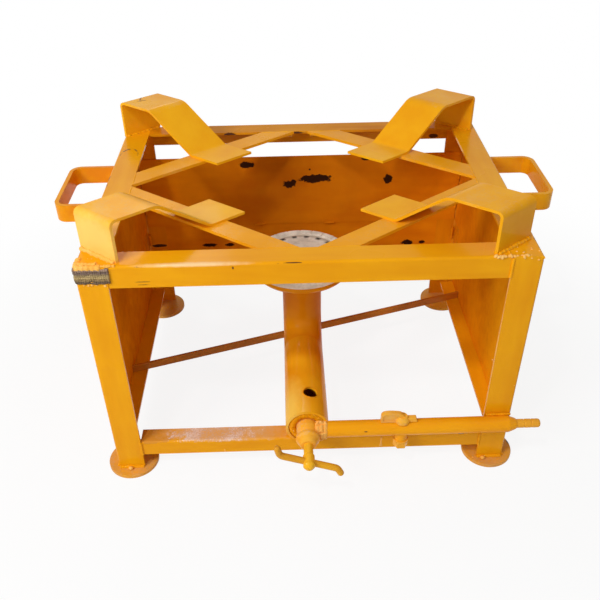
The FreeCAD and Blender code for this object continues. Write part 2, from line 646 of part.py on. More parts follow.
# Valve spindle: needle at the back, rounded nose at the front, cross hole for the T-bar.
spindle, _ = turned("valve_spindle_stem", "YZ_Plane", "H_Axis", [
    ("sizes.pipe_line + 6.5", "0"), ("sizes.pipe_line + 6.5", "0.5"),
    ("sizes.pipe_line + 4.3", "0.85"), ("sizes.pipe_line + 2.8", "3"),
    ("sizes.pipe_line - 6", "3"),
    ("sizes.pipe_line - 7", "sizes.stem_radius"), ("sizes.stem_tip + 19", "sizes.stem_radius"),
    ("sizes.stem_tip + 17.5", "sizes.stem_radius + 1.2"), ("sizes.stem_tip + 4", "sizes.stem_radius + 1.2"),
    ("sizes.stem_tip + 1.2", "sizes.stem_radius - 1"), ("sizes.stem_tip", "sizes.stem_radius - 3"),
    ("sizes.stem_tip", "0")], TUBE_X, "0", TUBE_AXIS)
nodes.remove(spindle)
tee_tilt = math.radians(20.3)
cross_hole = rod("tee_hole", "sizes.tee_radius", "30", "0", "0", "0", (0, 1, 0),
                 90 + math.degrees(tee_tilt))
cross_hole.setExpression("Placement.Base.x", f"{TUBE_X} - 15 * {math.cos(tee_tilt):.6f}")
cross_hole.setExpression("Placement.Base.y", "sizes.stand_shift + sizes.tee_line")
cross_hole.setExpression("Placement.Base.z", f"{TUBE_AXIS} + 15 * {math.sin(tee_tilt):.6f}")
keep(cut("valve_spindle_cut", spindle, cross_hole), "valve_spindle")


def bent_rod(points, radius, bend):
    """Round rod along straight runs and tangent arcs, with rounded ends."""
    path = rounded_wire(points, [bend] * len(points), False)
    first = (points[1] - points[0]).normalize()
    section = Part.Wire([Part.makeCircle(radius, points[0], first)])
    solid = path.makePipeShell([section], True, True)
    for tip in (points[0], points[-1]):
        solid = solid.fuse(Part.makeSphere(radius, tip))
    return solid.removeSplitter()


# T-bar: round rod through the spindle's nose, its left end bent up and its right end down.
left_half = 33
right_half = 32.5
left_run = 10.3
right_run = 8
tee_centre = vector(size("burner_shift"), size("tee_line"), tube_axis)
along_bar = vector(math.cos(tee_tilt), 0, -math.sin(tee_tilt))
left_lean = math.radians(78)
right_lean = math.radians(64)
tee_points = [
    tee_centre - along_bar * left_half
    - vector(math.cos(left_lean), 0, -math.sin(left_lean)) * left_run,
    tee_centre - along_bar * left_half,
    tee_centre + along_bar * right_half,
    tee_centre + along_bar * right_half
    + vector(math.cos(right_lean), 0, -math.sin(right_lean)) * right_run,
]
stored_shape("tee_handle", bent_rod(tee_points, size("tee_radius"), 8))

# Gas pipe: from the valve's inlet along the front to the right leg, with a conical shoulder at
# its end. At the plug cock its bore narrows, and a boss stands under it.
pipe, _ = turned("gas_pipe", "XZ_Plane", "H_Axis", [
    ("sizes.burner_shift + 15", "sizes.pipe_bore"), ("sizes.burner_shift + 15", "sizes.pipe_radius"),
    ("sizes.pipe_end - 9", "sizes.pipe_radius"), ("sizes.pipe_end - 6.5", "sizes.pipe_radius - 0.8"),
    ("sizes.pipe_end - 1.5", "sizes.barb_radius + 1.6"), ("sizes.pipe_end", "sizes.barb_radius + 0.8"),
    ("sizes.pipe_end", "sizes.barb_radius - 0.4"),
    ("sizes.pipe_end - 14", "sizes.barb_radius - 0.4"), ("sizes.pipe_end - 14", "sizes.pipe_bore"),
    ("sizes.cock_place + 12", "sizes.pipe_bore"), ("sizes.cock_place + 12", "sizes.way_radius"),
    ("sizes.cock_place - 12", "sizes.way_radius"), ("sizes.cock_place - 12", "sizes.pipe_bore")],
    "0", "sizes.pipe_line", PIPE_AXIS)
doc.recompute()
pad(pipe, circle(pipe, "XY_Plane", "boss_circle", "7.2", "sizes.cock_place"), "cock_boss_pad",
    "sizes.pipe_radius + sizes.cock_boss", backwards=True)
doc.recompute()
clearing = pipe.newObject("PartDesign::Pocket", "boss_clearing")
clearing.Profile = circle(pipe, "YZ_Plane", "way_circle", "sizes.way_radius")
clearing.Midplane = True
clearing.setExpression("Length", "2 * (sizes.cock_place + 12)")
doc.recompute()
cut_through(pipe, circle(pipe, "XY_Plane", "plug_circle", "sizes.plug_radius + sizes.stem_play",
                         "sizes.cock_place"), "plug_bore")

# Hose barb: let into the pipe's end, with two shallow grooves that hold the hose.
BARB = "sizes.barb_radius"
groove_profile = []
for back in (17.8, 9.8):
    for along, deep in ((0.9, 0), (0.3, 0.4), (-0.3, 0.4), (-0.9, 0)):
        groove_profile.append((f"sizes.barb_end - {back + along}", f"{BARB} - {deep}"))
turned("hose_barb", "XZ_Plane", "H_Axis", [
    ("sizes.pipe_end - 14", "2.6"), ("sizes.pipe_end - 14", f"{BARB} - 0.4"),
    ("sizes.pipe_end", f"{BARB} - 0.4"), ("sizes.pipe_end", BARB)] + groove_profile + [
    ("sizes.barb_end - 2.6", BARB), ("sizes.barb_end - 1.3", f"{BARB} - 0.35"),
    ("sizes.barb_end - 0.4", f"{BARB} - 1"), ("sizes.barb_end", f"{BARB} - 1.9"),
    ("sizes.barb_end", "2.6")],
    "0", "sizes.pipe_line", PIPE_AXIS)

# Plug cock: a round plug stands through the pipe, with the gas way across it.
COCK_X = "sizes.cock_place"
plug, _ = turned("cock_plug", "XZ_Plane", "V_Axis", [
    ("0", "-sizes.pipe_radius - 16.4"), ("3.4", "-sizes.pipe_radius - 16.4"),
    ("4", "-sizes.pipe_radius - 15.8"), ("4", "-sizes.pipe_radius - sizes.cock_boss + 0.8"),
    ("sizes.plug_radius", "-sizes.pipe_radius - sizes.cock_boss + 0.8"),
    ("sizes.plug_radius", "sizes.pipe_radius + 4.5"),
    ("sizes.plug_radius - 1", "sizes.pipe_radius + 5.5"), ("0", "sizes.pipe_radius + 5.5")],
    COCK_X, "sizes.pipe_line", PIPE_AXIS)
doc.recompute()
cut_through(plug, circle(plug, "YZ_Plane", "plug_way", "sizes.way_radius"), "plug_gas_way")

# Washer and nut under the plug.
turned("cock_washer", "XZ_Plane", "V_Axis", [
    ("4", "-sizes.pipe_radius - sizes.cock_boss - 2.3"),
    ("8.4", "-sizes.pipe_radius - sizes.cock_boss - 2.3"),
    ("8.4", "-sizes.pipe_radius - sizes.cock_boss - 0.1"),
    ("4", "-sizes.pipe_radius - sizes.cock_boss - 0.1")],
    COCK_X, "sizes.pipe_line", PIPE_AXIS)
body = new_body("cock_nut")
corner_radius = 8.6
nut_high = 9
hexagon = [(f"{corner_radius * math.cos(math.radians(60 * i)):.4f}",
            f"{corner_radius * math.sin(math.radians(60 * i)):.4f}") for i in range(6)]
nut = pad(body, outline(body, "XY_Plane", "nut_outline", hexagon), "nut_pad", str(nut_high), backwards=True)
cut_through(body, circle(body, "XY_Plane", "nut_circle", "4"), "nut_bore")
rounded_nut = round_edges(body, body.Tip, "nut_round", "1.6",
                          lambda point: near(point.z, -nut_high) and math.hypot(point.x, point.y) > 6)
place(body, COCK_X, "sizes.pipe_line", f"{PIPE_AXIS} - sizes.pipe_radius - sizes.cock_boss - 2.3")
keep(body, "cock_nut")

# Cock lever: a casting pinned on the plug's head, with a tall rounded wing on the left, dished
# on both faces, a low one on the right, and a round hub between them.
cock_x = size("cock_place")
cock_y = size("pipe_line")
lever_low = pipe_axis + size("pipe_radius") + 0.3
wing_half = vector(0, size("wing_thick") / 2, 0)


def wing_slab(points, radii, half):
    """Upright plate from its side view, each point given from the plug's axis and the base."""
    corners = [vector(cock_x + across, cock_y, lever_low + up) - half for across, up in points]
    return Part.Face(rounded_wire(corners, radii, True)).extrude(half * 2)


wings = wing_slab([(-24.2, 0.6), (-23.8, 13), (-14, 14.2), (-2.5, 12.8), (5.5, 6.2), (15, 6.2),
                   (16.8, 0.6)], [0, 5.5, 30, 7, 4, 1.2, 0], wing_half)
wings = wings.makeFillet(0.9, [edge for edge in wings.Edges
                               if edge.BoundBox.YLength < 0.01 and edge.BoundBox.ZMin > lever_low + 0.7])
dish = wing_slab([(-22, 2.6), (-22, 11.4), (-6.5, 11.4), (-6.5, 2.6)], [2.2, 3.5, 3.5, 2.2], wing_half)
for way in (-1, 1):
    hollow = dish.copy()
    hollow.translate(wing_half * 2 * way - vector(0, way, 0))
    wings = wings.cut(hollow)
hub = Part.makeCylinder(8, 4, vector(cock_x, cock_y, lever_low))
hub = hub.fuse(Part.makeCone(8, 5.2, 4.2, vector(cock_x, cock_y, lever_low + 4)))
lever = wings.fuse(hub).removeSplitter()
head = Part.makeCylinder(size("plug_radius"), 5.2, vector(cock_x, cock_y, lever_low - 1))
tip = Part.makeCone(size("plug_radius"), size("plug_radius") - 1, 1,
                    vector(cock_x, cock_y, lever_low + 4.2))
lever = lever.cut(head.fuse(tip))
stored_shape("cock_lever", lever)

doc.recompute()

for item in doc.Objects:
    if "Invalid" in item.State or "Error" in item.State:
        raise SystemExit(f"{item.Name} ({item.Label}) failed: {item.State}")
os.makedirs("parts", exist_ok=True)
for item in nodes:
    shape = item.Shape
    if shape.isNull() or not shape.isValid() or shape.Volume <= 0:
        raise SystemExit(f"{item.Label} has no valid shape")
    shape.exportStep(f"parts/{item.Label}.step")
print(len(nodes), "nodes written")
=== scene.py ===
import math
import random

import bpy
from mathutils import Matrix, Vector


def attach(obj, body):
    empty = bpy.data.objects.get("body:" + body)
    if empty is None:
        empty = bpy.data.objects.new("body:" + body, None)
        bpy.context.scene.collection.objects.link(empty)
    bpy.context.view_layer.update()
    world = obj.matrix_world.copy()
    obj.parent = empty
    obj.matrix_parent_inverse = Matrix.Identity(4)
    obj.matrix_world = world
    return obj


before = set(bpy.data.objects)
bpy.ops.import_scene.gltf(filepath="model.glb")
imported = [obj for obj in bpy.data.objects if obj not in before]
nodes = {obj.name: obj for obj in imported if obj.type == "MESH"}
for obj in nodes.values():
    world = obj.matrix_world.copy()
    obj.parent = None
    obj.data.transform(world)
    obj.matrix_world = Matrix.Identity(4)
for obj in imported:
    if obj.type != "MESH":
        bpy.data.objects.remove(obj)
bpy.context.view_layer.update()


# The view: camera where the photograph was taken from, a little above and in front of the
# stand, with the photograph's slight turn and tilt.
lens = bpy.data.cameras.new("viewpoint")
lens.sensor_width = 36
lens.lens = 43.76
lens.clip_start = 0.01
viewpoint = bpy.data.objects.new("viewpoint", lens)
bpy.context.scene.collection.objects.link(viewpoint)
viewpoint.matrix_world = (Matrix.Translation((-0.0214, -0.71856, 0.66671))
                          @ Matrix.Rotation(math.radians(-1.1), 4, "Z")
                          @ Matrix.Rotation(math.radians(53.6), 4, "X")
                          @ Matrix.Rotation(math.radians(-0.9), 4, "Z"))
bpy.context.scene.camera = viewpoint
bpy.context.scene.view_settings.view_transform = "Standard"


# The studio: white paper on the floor that keeps a soft shadow near the stand, white
# surroundings, a large lamp on the left, a small one overhead, one behind and a faint one right.
def feed(node, values):
    """Gives sockets of a shader node a value, or joins them to another node's output."""
    for socket, value in values.items():
        if isinstance(value, bpy.types.NodeSocket):
            node.id_data.links.new(value, node.inputs[socket])
        else:
            node.inputs[socket].default_value = value


def put(tree, kind, values=None, **settings):
    """New shader node with its settings and what feeds its sockets."""
    node = tree.nodes.new("ShaderNode" + kind)
    for setting, choice in settings.items():
        setattr(node, setting, choice)
    feed(node, values or {})
    return node


def calc(tree, operation, *terms):
    """Result of a math node with these terms."""
    return put(tree, "Math", dict(enumerate(terms)), operation=operation).outputs["Value"]


def calc_vector(tree, operation, *terms):
    """Result of a vector math node: a vector, or a number when it's a length."""
    node = put(tree, "VectorMath", dict(enumerate(terms)), operation=operation)
    return node.outputs["Value" if operation == "LENGTH" else "Vector"]


def remap(tree, value, from_min=0.0, from_max=1.0, to_min=0.0, to_max=1.0, **settings):
    """Value brought from one range to another and held within it."""
    node = put(tree, "MapRange", {"Value": value, "From Min": from_min, "From Max": from_max,
                                  "To Min": to_min, "To Max": to_max}, **settings)
    return node.outputs["Result"]


def seen_or_mirrored(tree):
    """1 for rays that show a surface to the camera, straight or in a mirror or through glass."""
    ray = put(tree, "LightPath")
    mirrored = calc(tree, "MAXIMUM", ray.outputs["Is Glossy Ray"],
                    ray.outputs["Is Transmission Ray"])
    return calc(tree, "MAXIMUM", ray.outputs["Is Camera Ray"], mirrored)


bpy.ops.object.select_all(action="DESELECT")
bpy.ops.mesh.primitive_plane_add(size=8, location=(0, 0, 0))
floor = bpy.context.object
floor.name = "studio_floor"
paper = bpy.data.materials.new("white_paper")
paper.use_nodes = True
paper_tree = paper.node_tree
paper_tree.nodes.clear()
paper_matt = put(paper_tree, "BsdfDiffuse", {"Color": (0.86, 0.86, 0.86, 1)})
paper_white = put(paper_tree, "Emission", {"Color": (1, 1, 1, 1), "Strength": 1.0})
paper_place = put(paper_tree, "TexCoord").outputs["Object"]
paper_far = calc_vector(paper_tree, "LENGTH", paper_place)
paper_fade = remap(paper_tree, paper_far, 0.34, 0.72, 0.88, 1.0, interpolation_type="SMOOTHSTEP")
paper_share = calc(paper_tree, "MULTIPLY", paper_fade,
                   seen_or_mirrored(paper_tree))
paper_mix = put(paper_tree, "MixShader", {"Fac": paper_share, 1: paper_matt.outputs["BSDF"],
                                          2: paper_white.outputs["Emission"]})
put(paper_tree, "OutputMaterial", {"Surface": paper_mix.outputs["Shader"]})
floor.data.materials.append(paper)

surroundings = bpy.data.worlds.new("surroundings")
surroundings.use_nodes = True
bpy.context.scene.world = surroundings
sky_tree = surroundings.node_tree
sky_tree.nodes.clear()
sky_seen = put(sky_tree, "Background", {"Color": (1, 1, 1, 1), "Strength": 1.0})
sky_lit = put(sky_tree, "Background", {"Color": (1, 0.98, 0.95, 1), "Strength": 0.33})
sky_mix = put(sky_tree, "MixShader", {"Fac": seen_or_mirrored(sky_tree),
                                      1: sky_lit.outputs["Background"],
                                      2: sky_seen.outputs["Background"]})
put(sky_tree, "OutputWorld", {"Surface": sky_mix.outputs["Shader"]})


def soft_lamp(name, place, size, energy):
    """Square lamp that looks at the middle of the stand."""
    aim = Vector((0, 0, 0.15))
    lamp = bpy.data.lights.new(name, "AREA")
    lamp.size = size
    lamp.energy = energy
    holder = bpy.data.objects.new(name, lamp)
    holder.location = place
    holder.visible_camera = False
    holder.rotation_euler = (Vector(place) - aim).to_track_quat("Z", "Y").to_euler()
    bpy.context.scene.collection.objects.link(holder)


soft_lamp("key_lamp", (-1.1, -1.0, 1.15), 0.6, 15)
soft_lamp("ceiling_lamp", (-0.4, -0.85, 1.55), 0.12, 6)
soft_lamp("window_lamp", (-0.45, 1.5, 1.4), 0.45, 2.5)
soft_lamp("side_lamp", (1.5, -0.7, 1.1), 1.0, 1.5)


# Frame of angle iron: four legs, four top rails, three lower rails, and a brace bar across.
# Cut from bar, welded, and brushed with yellow-orange enamel that is chipped here and there.
def shader_group(name, sockets_in, sockets_out):
    """Empty node group with named inputs, each with its value, and named outputs."""
    group = bpy.data.node_groups.new(name, "ShaderNodeTree")
    for label, kind, value in sockets_in:
        socket = group.interface.new_socket(label, in_out="INPUT",
                                            socket_type="NodeSocket" + kind)
        socket.default_value = value
    for label, kind in sockets_out:
        group.interface.new_socket(label, in_out="OUTPUT", socket_type="NodeSocket" + kind)
    return group, group.nodes.new("NodeGroupInput"), group.nodes.new("NodeGroupOutput")


def noise(tree, place, scale, detail, roughness=0.5):
    """Cloudy value from 0 to 1 that changes with the place."""
    node = put(tree, "TexNoise", {"Vector": place, "Scale": scale, "Detail": detail,
                                  "Roughness": roughness})
    return node.outputs["Fac"]


def mix_colour(tree, share, base, over):
    """Colour laid over a base colour by a share."""
    return put(tree, "Mix", {0: share, 6: base, 7: over}, data_type="RGBA").outputs[2]


def mix_value(tree, share, base, over):
    """Number laid over a base number by a share."""
    return put(tree, "Mix", {0: share, 2: base, 3: over}).outputs[0]


# Brush runs and clouds make the coat thick or thin, and a fine peel roughens it.
coat, coat_in, coat_out = shader_group(
    "Enamel coat",
    [("Thick paint", "Color", (0.90, 0.405, 0.005, 1)),
     ("Thin paint", "Color", (0.82, 0.325, 0.003, 1)),
     ("Brush run", "Vector", (60, 60, 8))],
    [("Colour", "Color"), ("Roughness", "Float"), ("Height", "Float")])
coat_place = put(coat, "TexCoord").outputs["Object"]
coat_stretch = calc_vector(coat, "MULTIPLY", coat_place, coat_in.outputs["Brush run"])
coat_strokes = noise(coat, coat_stretch, 1.6, 3)
coat_clouds = noise(coat, coat_place, 10, 3)
coat_peel = noise(coat, coat_place, 240, 2)
coat_patches = calc(coat, "MULTIPLY", coat_clouds, 0.75)
coat_cover = calc(coat, "MULTIPLY_ADD", coat_strokes, 0.4, coat_patches)
coat_thick = remap(coat, coat_cover, 0.44, 0.72)
coat_tint = mix_colour(coat, coat_thick, coat_in.outputs["Thin paint"],
                       coat_in.outputs["Thick paint"])
coat_gloss = remap(coat, coat_clouds, 0.3, 0.7, 0.36, 0.22)
coat_relief = calc(coat, "MULTIPLY_ADD", coat_peel, 0.5, coat_strokes)
feed(coat_out, {"Colour": coat_tint, "Roughness": coat_gloss, "Height": coat_relief})

# A chip is an ellipsoid with a torn rim; several are chained, each passing the others on.
chip, chip_in, chip_out = shader_group(
    "Paint chip",
    [("Other chips", "Float", 0.0), ("Centre", "Vector", (0, 0, 0)),
     ("Half size", "Vector", (0.01, 0.01, 0.01)), ("Ragged", "Float", 0.9),
     ("Soft", "Float", 0.2)],
    [("Mask", "Float")])
chip_place = put(chip, "TexCoord").outputs["Object"]
chip_away = calc_vector(chip, "SUBTRACT", chip_place, chip_in.outputs["Centre"])
chip_scaled = calc_vector(chip, "DIVIDE", chip_away, chip_in.outputs["Half size"])
chip_far = calc_vector(chip, "LENGTH", chip_scaled)
chip_torn = noise(chip, chip_place, 190, 4, 0.6)
chip_middle = calc(chip, "SUBTRACT", chip_torn, 0.5)
chip_edge = calc(chip, "MULTIPLY_ADD", chip_middle, chip_in.outputs["Ragged"], chip_far)
chip_rim = 1.06
chip_full = calc(chip, "SUBTRACT", chip_rim, chip_in.outputs["Soft"])
chip_step = remap(chip, chip_edge, chip_rim, chip_full)
chip_all = calc(chip, "MAXIMUM", chip_step, chip_in.outputs["Other chips"])
feed(chip_out, {"Mask": chip_all})

# Along the arrises of the frame the enamel is brushed thin and rubbed through in places. An
# arris is where two of the frame's outer planes are near.
frame_middle = 0.02625
arris, arris_in, arris_out = shader_group(
    "Arris wear", [("Width", "Float", 0.0032)], [("Mask", "Float")])
arris_place = put(arris, "TexCoord").outputs["Object"]
arris_centre = calc_vector(arris, "SUBTRACT", arris_place, (0, frame_middle, 0))
arris_fold = calc_vector(arris, "ABSOLUTE", arris_centre)
arris_planes = (0.2245, 0.166, 0.284)
arris_from = calc_vector(arris, "SUBTRACT", arris_fold, arris_planes)
arris_gap = calc_vector(arris, "ABSOLUTE", arris_from)
arris_axes = put(arris, "SeparateXYZ", {0: arris_gap})
arris_low = calc(arris, "MINIMUM", arris_axes.outputs["X"], arris_axes.outputs["Y"])
arris_high = calc(arris, "MAXIMUM", arris_axes.outputs["X"], arris_axes.outputs["Y"])
arris_cap = calc(arris, "MINIMUM", arris_high, arris_axes.outputs["Z"])
arris_second = calc(arris, "MAXIMUM", arris_low, arris_cap)
arris_patch = noise(arris, arris_place, 34, 5, 0.65)
arris_reach = remap(arris, arris_patch, 0.5, 0.75)
arris_wide = calc(arris, "MULTIPLY", arris_reach, arris_in.outputs["Width"])
arris_left = calc(arris, "SUBTRACT", arris_wide, arris_second)
arris_mask = remap(arris, arris_left, from_max=0.0009)
feed(arris_out, {"Mask": arris_mask})


def new_material(name):
    """New material with its node tree and its shader."""
    material = bpy.data.materials.new(name)
    material.use_nodes = True
    return material, material.node_tree, material.node_tree.nodes["Principled BSDF"]


def enamel(name, brush_run, thick=(0.90, 0.405, 0.005, 1), thin=(0.82, 0.325, 0.003, 1),
           chips=(), worn=None, bare=(0.055, 0.022, 0.012, 1), lumps=0.35, shine=(0.08, 0.1)):
    """Enamel with brush marks along the axis that has the smallest number.

    chips are places and half sizes, some with raggedness, where it has come off. shine is the
    level of its mirror and the weight of its clear coat."""
    paint, tree, shader = new_material(name)
    feed(shader, {"Specular IOR Level": shine[0], "Specular Tint": (1, 0.72, 0.2, 1),
                  "Coat Weight": shine[1], "Coat Roughness": 0.09})
    layer = put(tree, "Group", {"Thick paint": thick, "Thin paint": thin, "Brush run": brush_run},
                node_tree=coat)
    colour, rough, height = (layer.outputs[label] for label in ("Colour", "Roughness", "Height"))
    if worn:
        wear = put(tree, "Group", {"Width": worn}, node_tree=arris)
        colour = mix_colour(tree, wear.outputs["Mask"], colour, (0.33, 0.115, 0.02, 1))
    if chips:
        mask = 0.0
        for centre, half_size, *ragged in chips:
            spot = put(tree, "Group", {
                "Other chips": mask, "Centre": centre, "Half size": half_size,
                "Ragged": ragged[0] if ragged else 0.9}, node_tree=chip)
            mask = spot.outputs["Mask"]
        colour = mix_colour(tree, mask, colour, bare)
        rough = mix_value(tree, mask, rough, 0.8)
        height = calc(tree, "MULTIPLY_ADD", mask, -1.6, height)
    bump = put(tree, "Bump", {"Height": height, "Strength": lumps, "Distance": 0.0006})
    feed(shader, {"Base Color": colour, "Roughness": rough, "Normal": bump.outputs["Normal"]})
    return paint


def brush_on(paint, *names):
    """Gives CAD nodes their material."""
    for name in names:
        for slot in nodes[name].material_slots:
            slot.material = paint


leg_enamel = enamel("leg_enamel", (60, 60, 8), worn=0.003, chips=[
    ((0.196, -0.14025, 0.0482), (0.004, 0.003, 0.0016)),
    ((-0.192, -0.1402, 0.2615), (0.0016, 0.003, 0.004)),
    ((-0.2253, -0.11, 0.141), (0.003, 0.0035, 0.006)),
    ((0.2253, -0.115, 0.21), (0.003, 0.004, 0.006))])
cross_enamel = enamel("cross_enamel", (8, 60, 60), worn=0.0028, chips=[
    ((-0.0165, -0.139, 0.2834), (0.0095, 0.0022, 0.0005), 0.7),
    ((-0.0737, -0.13925, 0.2796), (0.001, 0.002, 0.0016), 0.4),
    ((-0.1605, -0.13925, 0.2662), (0.007, 0.002, 0.0004), 1.1),
    ((-0.1605, -0.13925, 0.2628), (0.006, 0.002, 0.0003), 1.3)], bare=(0.14, 0.05, 0.015, 1))
# The rear rail gets a darker, redder copy of the enamel as painted shade at the back of the frame.
rear_rail_enamel_shaded = enamel("rear_rail_enamel_shaded", (8, 60, 60), thick=(0.76, 0.30, 0.004, 1),
                          thin=(0.60, 0.20, 0.003, 1), worn=0.0028, chips=[
    ((-0.0915, 0.1665, 0.2818), (0.0075, 0.004, 0.0028)),
    ((-0.0216, 0.1663, 0.2825), (0.032, 0.0035, 0.0018), 1.2),
    ((0.1771, 0.1888, 0.2635), (0.0065, 0.003, 0.003)),
    ((0.1, 0.192, 0.262), (0.006, 0.003, 0.002))], bare=(0.10, 0.035, 0.012, 1),
    shine=(0.03, 0.1))
deep_enamel = enamel("deep_enamel", (60, 8, 60), worn=0.0028, chips=[
    ((-0.2255, 0.155, 0.268), (0.003, 0.008, 0.003)),
    ((0.2255, -0.05, 0.2825), (0.003, 0.011, 0.0016)),
    ((0.2255, 0.12, 0.265), (0.003, 0.004, 0.003))])
# The rear legs get a darker, redder copy of the enamel, painted shade like the shields beside them.
rear_leg_enamel_shaded = enamel("rear_leg_enamel_shaded", (60, 60, 8), thick=(0.86, 0.31, 0.004, 1),
                         thin=(0.70, 0.21, 0.003, 1), worn=0.003, chips=[
    # This first mark is one of the row of near-black marks at about 0.1 m high that runs across the
    # lower shields.
    ((-0.2081, 0.1883, 0.1022), (0.0125, 0.004, 0.0028)),
    ((0.2252, 0.186, 0.12), (0.003, 0.003, 0.008))])
# The brace gets a dark brown copy of the enamel as painted shade low under the frame.
brace_enamel_shaded = enamel("brace_enamel_shaded", (8, 60, 60), thick=(0.66, 0.25, 0.02, 1),
                      thin=(0.45, 0.15, 0.02, 1), worn=0.0028)
brush_on(leg_enamel, "leg_front_left", "leg_front_right")
brush_on(rear_leg_enamel_shaded, "leg_rear_left", "leg_rear_right")
brush_on(cross_enamel, "top_rail_front")
brush_on(rear_rail_enamel_shaded, "top_rail_rear")
brush_on(brace_enamel_shaded, "brace_bar")
brush_on(deep_enamel, "top_rail_right", "low_rail_left", "low_rail_right")

# The left top rail has a bow-shaped scratch, scribed round a bolt or a can that stood there.
scratched = enamel("scratched_enamel", (60, 8, 60), worn=0.0028)
scratch_tree = scratched.node_tree
scratch_place = put(scratch_tree, "TexCoord").outputs["Object"]
scratch_away = calc_vector(scratch_tree, "SUBTRACT", scratch_place, (-0.2108, 0.105, 0.2845))
scratch_scaled = calc_vector(scratch_tree, "DIVIDE", scratch_away, (0.0105, 0.0185, 0.02))
scratch_far = calc_vector(scratch_tree, "LENGTH", scratch_scaled)
scratch_line = calc(scratch_tree, "COMPARE", scratch_far, 1.0, 0.07)
scratch_axes = put(scratch_tree, "SeparateXYZ", {0: scratch_away})
scratch_half = remap(scratch_tree, scratch_axes.outputs["Y"], -0.002, 0.004)
scratch_gaps = noise(scratch_tree, scratch_place, 240, 2)
scratch_broken = remap(scratch_tree, scratch_gaps, 0.38, 0.56)
scratch_bow = calc(scratch_tree, "MULTIPLY", scratch_line, scratch_half)
scratch_mask = calc(scratch_tree, "MULTIPLY", scratch_bow, scratch_broken)
scratch_shader = scratch_tree.nodes["Principled BSDF"]
scratch_base = scratch_shader.inputs["Base Color"].links[0].from_socket
scratch_tone = mix_colour(scratch_tree, scratch_mask, scratch_base, (0.2, 0.085, 0.03, 1))
feed(scratch_shader, {"Base Color": scratch_tone})
brush_on(scratched, "top_rail_left")

# The lower front rail's top is dry and speckled left of the mixing tube, where spatter and
# dust fell in the wet enamel; the pale pinkish film over its middle is partly that dust and partly
# a painted reflection.
speckled = enamel("speckled_enamel", (8, 60, 60), chips=[
    ((0.173, -0.13925, 0.0425), (0.0045, 0.003, 0.0012)),
    ((-0.079, -0.122, 0.0435), (0.0055, 0.0016, 0.002), 0.7)], bare=(0.13, 0.06, 0.05, 1))
# Closed up to a film by its Cover, the same speckle also serves to paint light and shade into some
# surfaces.
dust, dust_in, dust_out = shader_group(
    "Dust in the paint",
    [("Amount", "Float", 0.5), ("Grain", "Float", 420), ("Cover", "Float", 0.0)],
    [("Mask", "Float")])
dust_place = put(dust, "TexCoord").outputs["Object"]
dust_grain = noise(dust, dust_place, dust_in.outputs["Grain"], 3, 0.7)
dust_field = noise(dust, dust_place, 42, 3)
dust_sum = calc(dust, "ADD", dust_grain, dust_field)
dust_covered = calc(dust, "ADD", dust_sum, dust_in.outputs["Cover"])
dust_step = remap(dust, dust_covered, 0.98, 1.2)
dust_part = calc(dust, "MULTIPLY", dust_step, dust_in.outputs["Amount"])
feed(dust_out, {"Mask": dust_part})


def dust_and_light_over(paint, amount, centre, half_size, grain=420, tone=(0.74, 0.47, 0.27, 1),
              cover=0.0, ragged=1.6, soft=0.2):
    """Dry speckle in a painted surface round a place; with more cover it closes to a film, which
    some calls use to paint light or shade into a surface.
    """
    tree = paint.node_tree
    shader = tree.nodes["Principled BSDF"]
    specks = put(tree, "Group", {"Amount": amount, "Grain": grain, "Cover": cover}, node_tree=dust)
    spot = put(tree, "Group", {"Centre": centre, "Half size": half_size, "Ragged": ragged,
                               "Soft": soft}, node_tree=chip)
    there = calc(tree, "MULTIPLY", specks.outputs["Mask"], spot.outputs["Mask"])
    colour, rough = (shader.inputs[label].links[0].from_socket
                     for label in ("Base Color", "Roughness"))
    feed(shader, {"Base Color": mix_colour(tree, there, colour, tone),
                  "Roughness": mix_value(tree, there, rough, 0.7)})


dust_and_light_over(speckled, 0.6, (-0.178, -0.126, 0.0435), (0.023, 0.02, 0.004),
          tone=(0.58, 0.23, 0.05, 1), cover=0.5)
# Pale film, partly dust and partly a painted reflection on the rail's top.
dust_and_light_over(speckled, 0.8, (-0.095, -0.1245, 0.0435), (0.085, 0.024, 0.004), grain=60,
          tone=(0.78, 0.40, 0.15, 1), cover=0.6, ragged=0.8, soft=0.5)
dust_and_light_over(speckled, 0.8, (-0.112, -0.1245, 0.0435), (0.05, 0.02, 0.004),
          tone=(0.68, 0.42, 0.30, 1), cover=0.15, soft=0.5)
dust_and_light_over(speckled, 0.6, (-0.112, -0.1245, 0.0435), (0.05, 0.02, 0.004), grain=600,
          tone=(0.93, 0.80, 0.74, 1))
dust_and_light_over(speckled, 0.55, (-0.042, -0.126, 0.0435), (0.024, 0.016, 0.004))
brush_on(speckled, "low_rail_front")

# The brace's right end is made near black where it meets the low rail: painted shade in the corner
# between them.
dust_and_light_over(brace_enamel_shaded, 0.9, (0.2035, 0.0655, 0.089), (0.012, 0.012, 0.014), grain=200,
          tone=(0.06, 0.02, 0.008, 1), cover=0.7, ragged=1.2, soft=0.7)

# A painted highlight: the front rail's upper arris is made pale left of the middle, as a glint
# along its rounded edge.
dust_and_light_over(cross_enamel, 0.6, (-0.112, -0.1385, 0.2842), (0.062, 0.0045, 0.0026), grain=60,
          tone=(1.0, 0.80, 0.50, 1), cover=0.6, ragged=0.5, soft=0.7)


